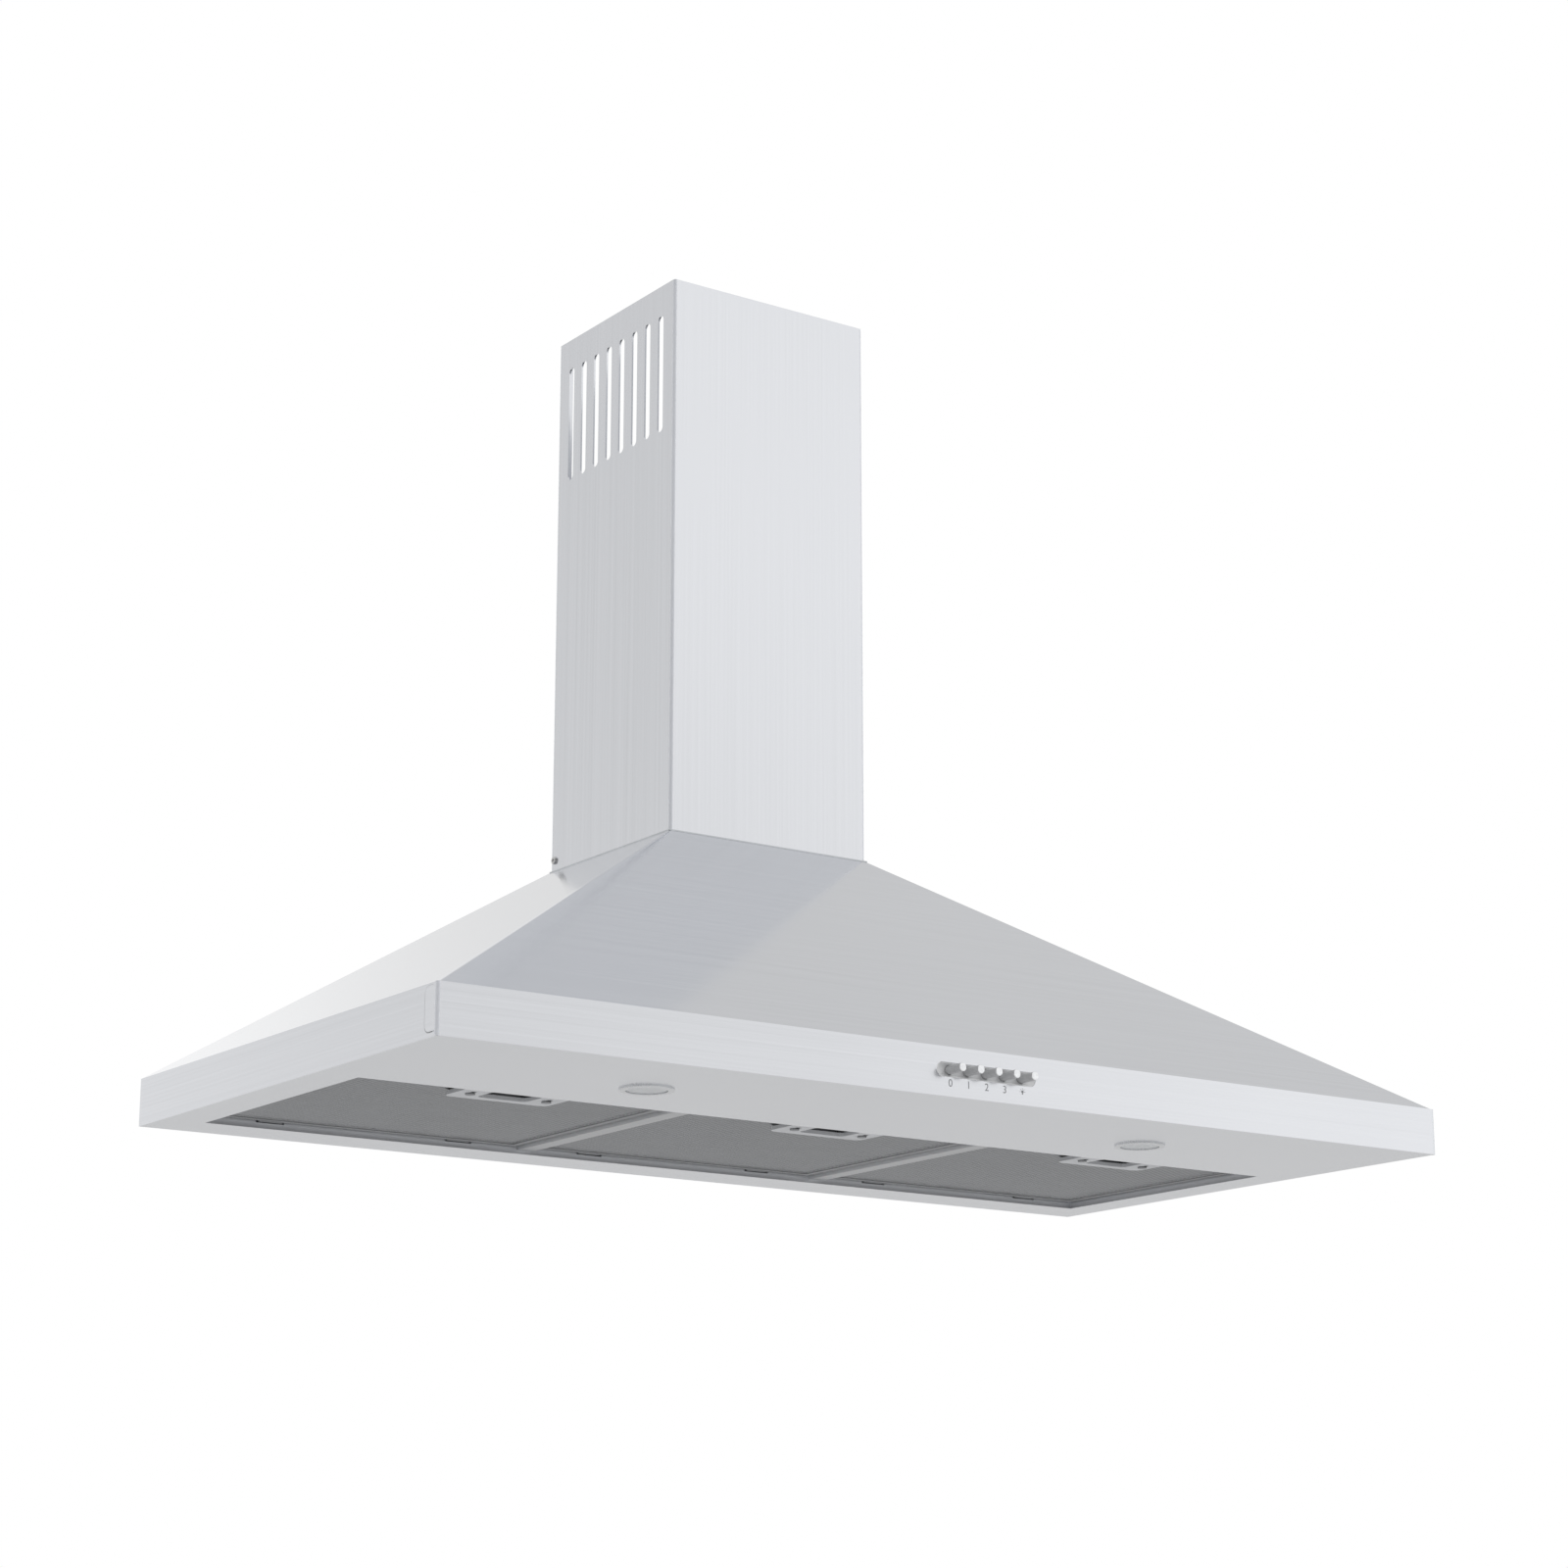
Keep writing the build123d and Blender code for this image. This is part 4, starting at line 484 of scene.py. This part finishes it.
FINISHES = {
    "stainless": canopy_steel,
    "galvanised": zinc_sheet,
    "screws": plated_screws,
    "filter_aluminium": filter_channel,
    "filter_mesh": filter_strands,
    "latch_plastic": latch_plastic,
    "button_metal": button_metal,
    "bezel_plastic": bezel_plastic,
    "switch_plastic": switch_plastic,
    "blower_plastic": blower_plastic,
    "motor_paint": motor_paint,
    "pale_plastic": pale_plastic,
    "lead_plastic": lead_sheath,
    "lamp_metal": lamp_steel,
    "lamp_glass": lamp_glass,
}
SHEETS = {
    "front_fascia": fascia_steel,
    "bottom_frame": frame_steel,
    "lower_chimney": chimney_steel,
    "upper_chimney": chimney_steel,
    "filter_rail_1": rail_steel,
    "filter_rail_2": rail_steel,
}


def dress_nodes():
    """Gives every CAD node the finish of its slot, or its own sheet's grain."""
    for part in frame["record"]["subparts"]:
        name = part["node"]
        finish = SHEETS.get(name, FINISHES[part["material_slot"]])
        for place in frame["nodes"][name].material_slots:
            place.material = finish


def finished(name, bm, material, body):
    """Turns a bmesh into a piece that rides on a body."""
    mesh = bpy.data.meshes.new(name)
    bm.to_mesh(mesh)
    bm.free()
    mesh.materials.append(material)
    piece = bpy.data.objects.new(name, mesh)
    bpy.context.scene.collection.objects.link(piece)
    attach(piece, body)
    return piece


def cut(bm, faces, point, outward, clear):
    """Cuts some faces along an upright plane, and drops what is outside it if asked."""
    edges = {edge for face in faces for edge in face.edges}
    verts = {vert for face in faces for vert in face.verts}
    bmesh.ops.bisect_plane(
        bm, geom=[*verts, *edges, *faces], plane_co=point, plane_no=outward, clear_outer=clear
    )


def seat_faces(bm, middle, room):
    """Faces over the latch seat of a filter, and those within some room of it."""
    picked = []
    for face in bm.faces:
        place = face.calc_center_median()
        if abs(place.x - middle) < SEAT_HALF + room and place.y < SEAT_REAR + room:
            picked.append(face)
    return picked


def clear_seat(bm, middle):
    """Cuts the latch seat out of a flat sheet of faces."""
    lines = (
        ((middle - SEAT_HALF, 0, 0), (1, 0, 0)),
        ((middle + SEAT_HALF, 0, 0), (1, 0, 0)),
        ((0, SEAT_REAR, 0), (0, 1, 0)),
    )
    for point, normal in lines:
        cut(bm, seat_faces(bm, middle, CELL_LONG), point, normal, False)
    bmesh.ops.delete(bm, geom=seat_faces(bm, middle, 0.0), context="FACES")


def diamond_sheet(name, low, high, level, lean, side):
    """One expanded sheet of a filter: diamond cells with leaning strands, clear of the latch seat."""
    bm = bmesh.new()
    across = (high.x - low.x) / CELL_LONG + (high.y - low.y) / CELL_SHORT
    count = math.ceil(across) + 2
    bmesh.ops.create_grid(bm, x_segments=count, y_segments=count, size=count * math.sqrt(0.5) / 2)
    middle = (low + high) / 2
    place = Matrix.Translation((middle.x, middle.y, level))
    stretch = Matrix.Diagonal((CELL_LONG, CELL_SHORT, 1.0, 1.0))
    turn = Matrix.Rotation(math.radians(45), 4, "Z")
    bmesh.ops.transform(bm, matrix=place @ stretch @ turn, verts=bm.verts)
    for point, outward in ((low, (-1, 0, 0)), (low, (0, -1, 0)), (high, (1, 0, 0)), (high, (0, 1, 0))):
        cut(bm, bm.faces[:], point, outward, True)
    clear_seat(bm, middle.x)
    whole = CELL_LONG * CELL_SHORT / 2
    slivers = [face for face in bm.faces if face.calc_area() < whole * SLIVER_SHARE]
    bmesh.ops.delete(bm, geom=slivers, context="FACES")
    cells = bm.faces[:]
    bmesh.ops.inset_individual(bm, faces=cells, thickness=STRAND / 2, use_even_offset=True)
    for cell in cells:
        heart = cell.calc_center_median()
        for vert in cell.verts:
            rise = (vert.co.y - heart.y) / (CELL_SHORT / 2)
            vert.co.z += lean * max(-1.0, min(1.0, rise))
    bmesh.ops.delete(bm, geom=cells, context="FACES_ONLY")
    bmesh.ops.solidify(bm, geom=bm.faces[:], thickness=SHEET)
    return finished(name, bm, filter_strands, f"filter_{side}")


def pleated_core(name, low, high, side):
    """Crumpled layers between the two outer sheets of a filter, as one pleated sheet."""
    bm = bmesh.new()
    bmesh.ops.create_grid(bm, x_segments=CORE_PLEATS, y_segments=CORE_ROWS, size=0.5)
    middle = (low + high) / 2
    place = Matrix.Translation((middle.x, middle.y, (low.z + high.z) / 2))
    stretch = Matrix.Diagonal((high.x - low.x, high.y - low.y, 1.0, 1.0))
    bmesh.ops.transform(bm, matrix=place @ stretch, verts=bm.verts)
    clear_seat(bm, middle.x)
    pitch = (high.x - low.x) / CORE_PLEATS
    for vert in bm.verts:
        vert.co.z += PLEAT_RISE * math.cos((vert.co.x - low.x) / pitch * math.pi)
    bmesh.ops.solidify(bm, geom=bm.faces[:], thickness=SHEET)
    return finished(name, bm, filter_layers, f"filter_{side}")


def channel_hem(name, low, high, side):
    """Inner edge of a filter's channel, folded back against the mesh at the rear and both sides, in paler
    aluminium as painted light.
    """
    left, right = low.x + HEM_INSET, high.x - HEM_INSET
    front, rear = low.y + HEM_INSET, high.y - HEM_INSET
    strips = (
        (left - HEM_WIDTH, left, front, rear),
        (right, right + HEM_WIDTH, front, rear),
        (left - HEM_WIDTH, right + HEM_WIDTH, rear, rear + HEM_WIDTH),
    )
    bm = bmesh.new()
    for x0, x1, y0, y1 in strips:
        place = Matrix.Translation(((x0 + x1) / 2, (y0 + y1) / 2, low.z + (HEM_LOW + HEM_HIGH) / 2))
        stretch = Matrix.Diagonal((x1 - x0, y1 - y0, HEM_HIGH - HEM_LOW, 1.0))
        bmesh.ops.create_cube(bm, size=1.0, matrix=place @ stretch)
    finished(name, bm, filter_hem_painted_light, f"filter_{side}")


def filter_meshes():
    """Expanded sheets, core and hem of the three grease filters."""
    for index, side in enumerate(SIDES):
        node = f"filter_mesh_{index + 1}"
        low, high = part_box(node)
        lower = diamond_sheet(f"filter_sheet_low_{side}", low, high, low.z + TWIST + SHEET, TWIST, side)
        upper = diamond_sheet(f"filter_sheet_high_{side}", low, high, high.z - TWIST - SHEET, -TWIST, side)
        core = pleated_core(f"filter_core_{side}", low, high, side)
        channel_hem(f"filter_hem_{side}", low, high, side)
        for piece in (lower, upper, core):
            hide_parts(node)


def flat_bar(bm, place, size, turn=0.0):
    """A small flat bar in the plane of the marks, about its middle."""
    made = bmesh.ops.create_grid(bm, x_segments=1, y_segments=1, size=0.5)
    shape = Matrix.Rotation(turn, 4, "Z") @ Matrix.Diagonal((*size, 1.0, 1.0))
    bmesh.ops.transform(bm, matrix=Matrix.Translation((*place, 0.0)) @ shape, verts=made["verts"])


def mark_place(x):
    """Where a mark stands on the fascia, upright and facing the front."""
    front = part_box("front_fascia")[0].y
    return Matrix.Translation((x, front, MARK_LEVEL)) @ Matrix.Rotation(math.radians(90), 4, "X")


def numeral(name, text, x):
    """A printed number under a push button."""
    letters = bpy.data.curves.new(name, "FONT")
    letters.body = text
    letters.size = LETTER_HEIGHT * TYPE_PER_HEIGHT
    letters.align_x = "CENTER"
    letters.align_y = "CENTER"
    letters.extrude = MARK_THICK
    drawn = bpy.data.objects.new(name + "_drawn", letters)
    bpy.context.scene.collection.objects.link(drawn)
    shape = drawn.evaluated_get(bpy.context.evaluated_depsgraph_get())
    mesh = bpy.data.meshes.new_from_object(shape)
    bpy.data.objects.remove(drawn)
    bm = bmesh.new()
    bm.from_mesh(mesh)
    bpy.data.meshes.remove(mesh)
    bmesh.ops.transform(bm, matrix=mark_place(x), verts=bm.verts)
    finished(name, bm, mark_ink, "hood")


def lamp_sign(name, x):
    """A plain lamp sign under the last push button: bulb, cap and rays."""
    bm = bmesh.new()
    bulb = bmesh.ops.create_circle(bm, cap_ends=True, segments=24, radius=BULB_RADIUS)
    bmesh.ops.translate(bm, verts=bulb["verts"], vec=(0.0, BULB_RISE, 0.0))
    flat_bar(bm, (0.0, -CAP_DROP), CAP_SIZE)
    for step in range(RAY_COUNT):
        turn = math.radians(180 - RAY_STEP * step)
        flat_bar(bm, (RAY_REACH * math.cos(turn), BULB_RISE + RAY_REACH * math.sin(turn)), RAY_SIZE, turn)
    bmesh.ops.solidify(bm, geom=bm.faces[:], thickness=MARK_THICK)
    proud = MARK_THICK - max(vert.co.z for vert in bm.verts)
    bmesh.ops.translate(bm, verts=bm.verts, vec=(0.0, 0.0, proud))
    bmesh.ops.recalc_face_normals(bm, faces=bm.faces[:])
    bmesh.ops.transform(bm, matrix=mark_place(x), verts=bm.verts)
    finished(name, bm, mark_ink, "hood")


def button_marks():
    """Numbers for the speeds and a lamp sign, each under its button."""
    for step, text in enumerate("0123"):
        numeral(f"mark_{text}", text, (step - 2) * BUTTON_PITCH)
    lamp_sign("mark_lamp", 2 * BUTTON_PITCH)


def cross_recess(name, face, normal_x):
    """Cross recess on a screw head that faces left or right, as a flat cross of painted shadow."""
    bm = bmesh.new()
    for turn in (0.0, math.radians(90)):
        flat_bar(bm, (0.0, 0.0), RECESS_SIZE, turn)
    bmesh.ops.solidify(bm, geom=bm.faces[:], thickness=RECESS_THICK)
    place = Matrix.Translation(face) @ Matrix.Rotation(math.radians(90) * normal_x, 4, "Y")
    bmesh.ops.transform(bm, matrix=place, verts=bm.verts)
    finished(name, bm, recess_shadow, "hood")


def chimney_screw_recesses():
    """Recesses of the two chimney screws, just proud of their heads."""
    low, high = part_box("chimney_screws")
    middle = (low + high) / 2
    cross_recess("chimney_recess_left", (low.x - RECESS_PROUD, middle.y, middle.z), -1)
    cross_recess("chimney_recess_right", (high.x + RECESS_PROUD, middle.y, middle.z), 1)


def tab_outline(bm, length, height, corner, middle):
    """Edges of an upright rounded plate, drawn flat about its middle along x."""
    made = bmesh.ops.create_grid(bm, x_segments=1, y_segments=1, size=0.5)
    bmesh.ops.scale(bm, vec=(length, height, 1.0), verts=made["verts"])
    bmesh.ops.translate(bm, vec=(middle, 0.0, 0.0), verts=made["verts"])
    bmesh.ops.bevel(
        bm, geom=made["verts"], offset=corner, affect="VERTICES", segments=8, profile=0.5, material=-1
    )
    bmesh.ops.delete(bm, geom=bm.faces[:], context="FACES_ONLY")


def tab_seam(name, side_x):
    """Shadow line round the fascia's folded tab, lying on the side sheet."""
    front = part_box("front_fascia")[0].y
    height = TAB_HIGH - TAB_LOW
    bm = bmesh.new()
    tab_outline(bm, TAB_LENGTH, height, TAB_CORNER, TAB_LENGTH / 2)
    reach = TAB_LENGTH + SEAM_BEHIND
    tab_outline(bm, reach, height + 2 * SEAM_BESIDE, TAB_CORNER + SEAM_BESIDE, reach / 2)
    bmesh.ops.bridge_loops(bm, edges=bm.edges[:])
    cut(bm, bm.faces[:], (TAB_CORNER + 2 * SEAM_BESIDE, 0.0, 0.0), (-1, 0, 0), True)
    upright = Matrix.Rotation(math.radians(90), 4, "Y") @ Matrix.Rotation(math.radians(90), 4, "Z")
    place = Matrix.Translation((side_x, front, (TAB_LOW + TAB_HIGH) / 2))
    bmesh.ops.transform(bm, matrix=place @ upright, verts=bm.verts)
    bmesh.ops.recalc_face_normals(bm, faces=bm.faces[:])
    bmesh.ops.solidify(bm, geom=bm.faces[:], thickness=SEAM_THICK)
    finished(name, bm, seam_shadow, "hood")


def tab_seams():
    """Seams on both side sheets of the canopy."""
    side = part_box("canopy_shell")
    tab_seam("tab_seam_left", side[0].x - SEAM_THICK)
    tab_seam("tab_seam_right", side[1].x + SEAM_THICK)


def studio_world():
    """White to the camera; metal sees a soft studio that is darker behind the camera and above."""
    world = bpy.data.worlds.new("pale_studio")
    bpy.context.scene.world = world
    world.use_nodes = True
    nodes, links = world.node_tree.nodes, world.node_tree.links
    background = nodes["Background"]
    direction = nodes.new("ShaderNodeTexCoord").outputs["Generated"]

    def number(kind, first, second):
        return math_node(nodes, links, kind, first, second)

    # Heading of each patch, the cosines between which it fades in, and the light it takes away;
    # a negative one adds light
    patches = (
        ((-0.62, -0.74, 0.25), 0.62, 0.95, 0.60),
        ((-0.90, -0.10, 0.20), 0.75, 0.95, 0.45),
        ((0.62, 0.39, 0.68), 0.86, 0.99, 0.305),
        ((-0.49, 0.43, 0.76), 0.92, 0.99, 0.14),
        ((0.55, -0.45, 0.70), 0.88, 0.98, 0.20),
        ((0.52, 0.78, 0.38), 0.97, 0.999, 0.24),
        ((-0.52, 0.76, 0.40), 0.92, 0.995, 0.25),
        ((0.38, -0.92, 0.02), 0.925, 0.985, 0.23),
        ((0.75, -0.58, 0.32), 0.80, 0.99, -0.08),
    )
    level = 1.0
    for heading, start, end, depth in patches:
        along = nodes.new("ShaderNodeVectorMath")
        along.operation = "DOT_PRODUCT"
        along.inputs[1].default_value = Vector(heading).normalized()
        links.new(direction, along.inputs[0])
        fade = nodes.new("ShaderNodeMapRange")
        fade.interpolation_type = "SMOOTHSTEP"
        fade.inputs["From Min"].default_value = start
        fade.inputs["From Max"].default_value = end
        fade.inputs["To Min"].default_value = 0.0
        fade.inputs["To Max"].default_value = depth
        links.new(along.outputs["Value"], fade.inputs["Value"])
        level = number("SUBTRACT", level, fade.outputs["Result"])

    rays = nodes.new("ShaderNodeLightPath")
    shiny = number("MAXIMUM", rays.outputs["Is Glossy Ray"], rays.outputs["Is Transmission Ray"])
    reflected = number("MULTIPLY", shiny, level)
    scattered = number("MULTIPLY", number("SUBTRACT", 1.0, shiny), AMBIENT)
    lit = number("ADD", reflected, scattered)
    links.new(number("MAXIMUM", lit, rays.outputs["Is Camera Ray"]), background.inputs["Strength"])
    background.inputs["Color"].default_value = (1.0, 1.0, 1.0, 1.0)


def studio_floor():
    """Plain pale floor, far below the hood, that goes over into the white around it."""
    bm = bmesh.new()
    bmesh.ops.create_grid(bm, x_segments=1, y_segments=1, size=FLOOR_REACH)
    bmesh.ops.translate(bm, verts=bm.verts, vec=(0.0, 0.0, FLOOR_LEVEL))
    mesh = bpy.data.meshes.new("studio_floor")
    bm.to_mesh(mesh)
    bm.free()
    finish = Finish("pale_floor", roughness=0.9)
    worn = finish.noise((0.6, 0.6, 0.6), detail=3.0)
    finish.colour(finish.blend(worn, (0.83, 0.83, 0.83), (0.87, 0.87, 0.87)))
    far = finish.nodes.new("ShaderNodeVectorMath")
    far.operation = "LENGTH"
    finish.links.new(finish.place.outputs["Object"], far.inputs[0])
    rays = finish.nodes.new("ShaderNodeLightPath")
    white = finish.nodes.new("ShaderNodeEmission")
    fade = finish.nodes.new("ShaderNodeMixShader")
    reach = finish.between(far.outputs["Value"], 0.0, 1.0, FADE_START, FADE_END)
    finish.links.new(finish.number("MULTIPLY", reach, rays.outputs["Is Camera Ray"]), fade.inputs["Fac"])
    finish.links.new(finish.shader.outputs["BSDF"], fade.inputs[1])
    finish.links.new(white.outputs["Emission"], fade.inputs[2])
    finish.links.new(fade.outputs["Shader"], finish.nodes["Material Output"].inputs["Surface"])
    mesh.materials.append(finish.material)
    floor = bpy.data.objects.new("studio_floor", mesh)
    bpy.context.scene.collection.objects.link(floor)


def key_light():
    """One large soft lamp above the front right, for the parts that aren't metal."""
    lamp = bpy.data.lights.new("soft_key", "AREA")
    lamp.energy = KEY_WATTS
    lamp.size = KEY_SIZE
    light = bpy.data.objects.new("soft_key", lamp)
    light.location = KEY_PLACE
    aim = Vector(KEY_AIM) - Vector(KEY_PLACE)
    light.rotation_euler = aim.to_track_quat("-Z", "Y").to_euler()
    light.visible_camera = False
    light.visible_glossy = False
    bpy.context.scene.collection.objects.link(light)


def photo_camera():
    """The photograph's camera: below the rim, to the left, looking up."""
    lens = bpy.data.cameras.new("photo_camera")
    lens.lens = CAMERA_LENS
    lens.sensor_width = SENSOR_WIDTH
    camera = bpy.data.objects.new("photo_camera", lens)
    camera.location = CAMERA_PLACE
    camera.rotation_euler = Vector(CAMERA_LOOK).to_track_quat("-Z", "Y").to_euler()
    bpy.context.scene.collection.objects.link(camera)
    bpy.context.scene.camera = camera


photo_camera()
studio_world()
studio_floor()
key_light()
bpy.context.scene.view_settings.view_transform = "Standard"

dress_nodes()
filter_meshes()
button_marks()
chimney_screw_recesses()
tab_seams()
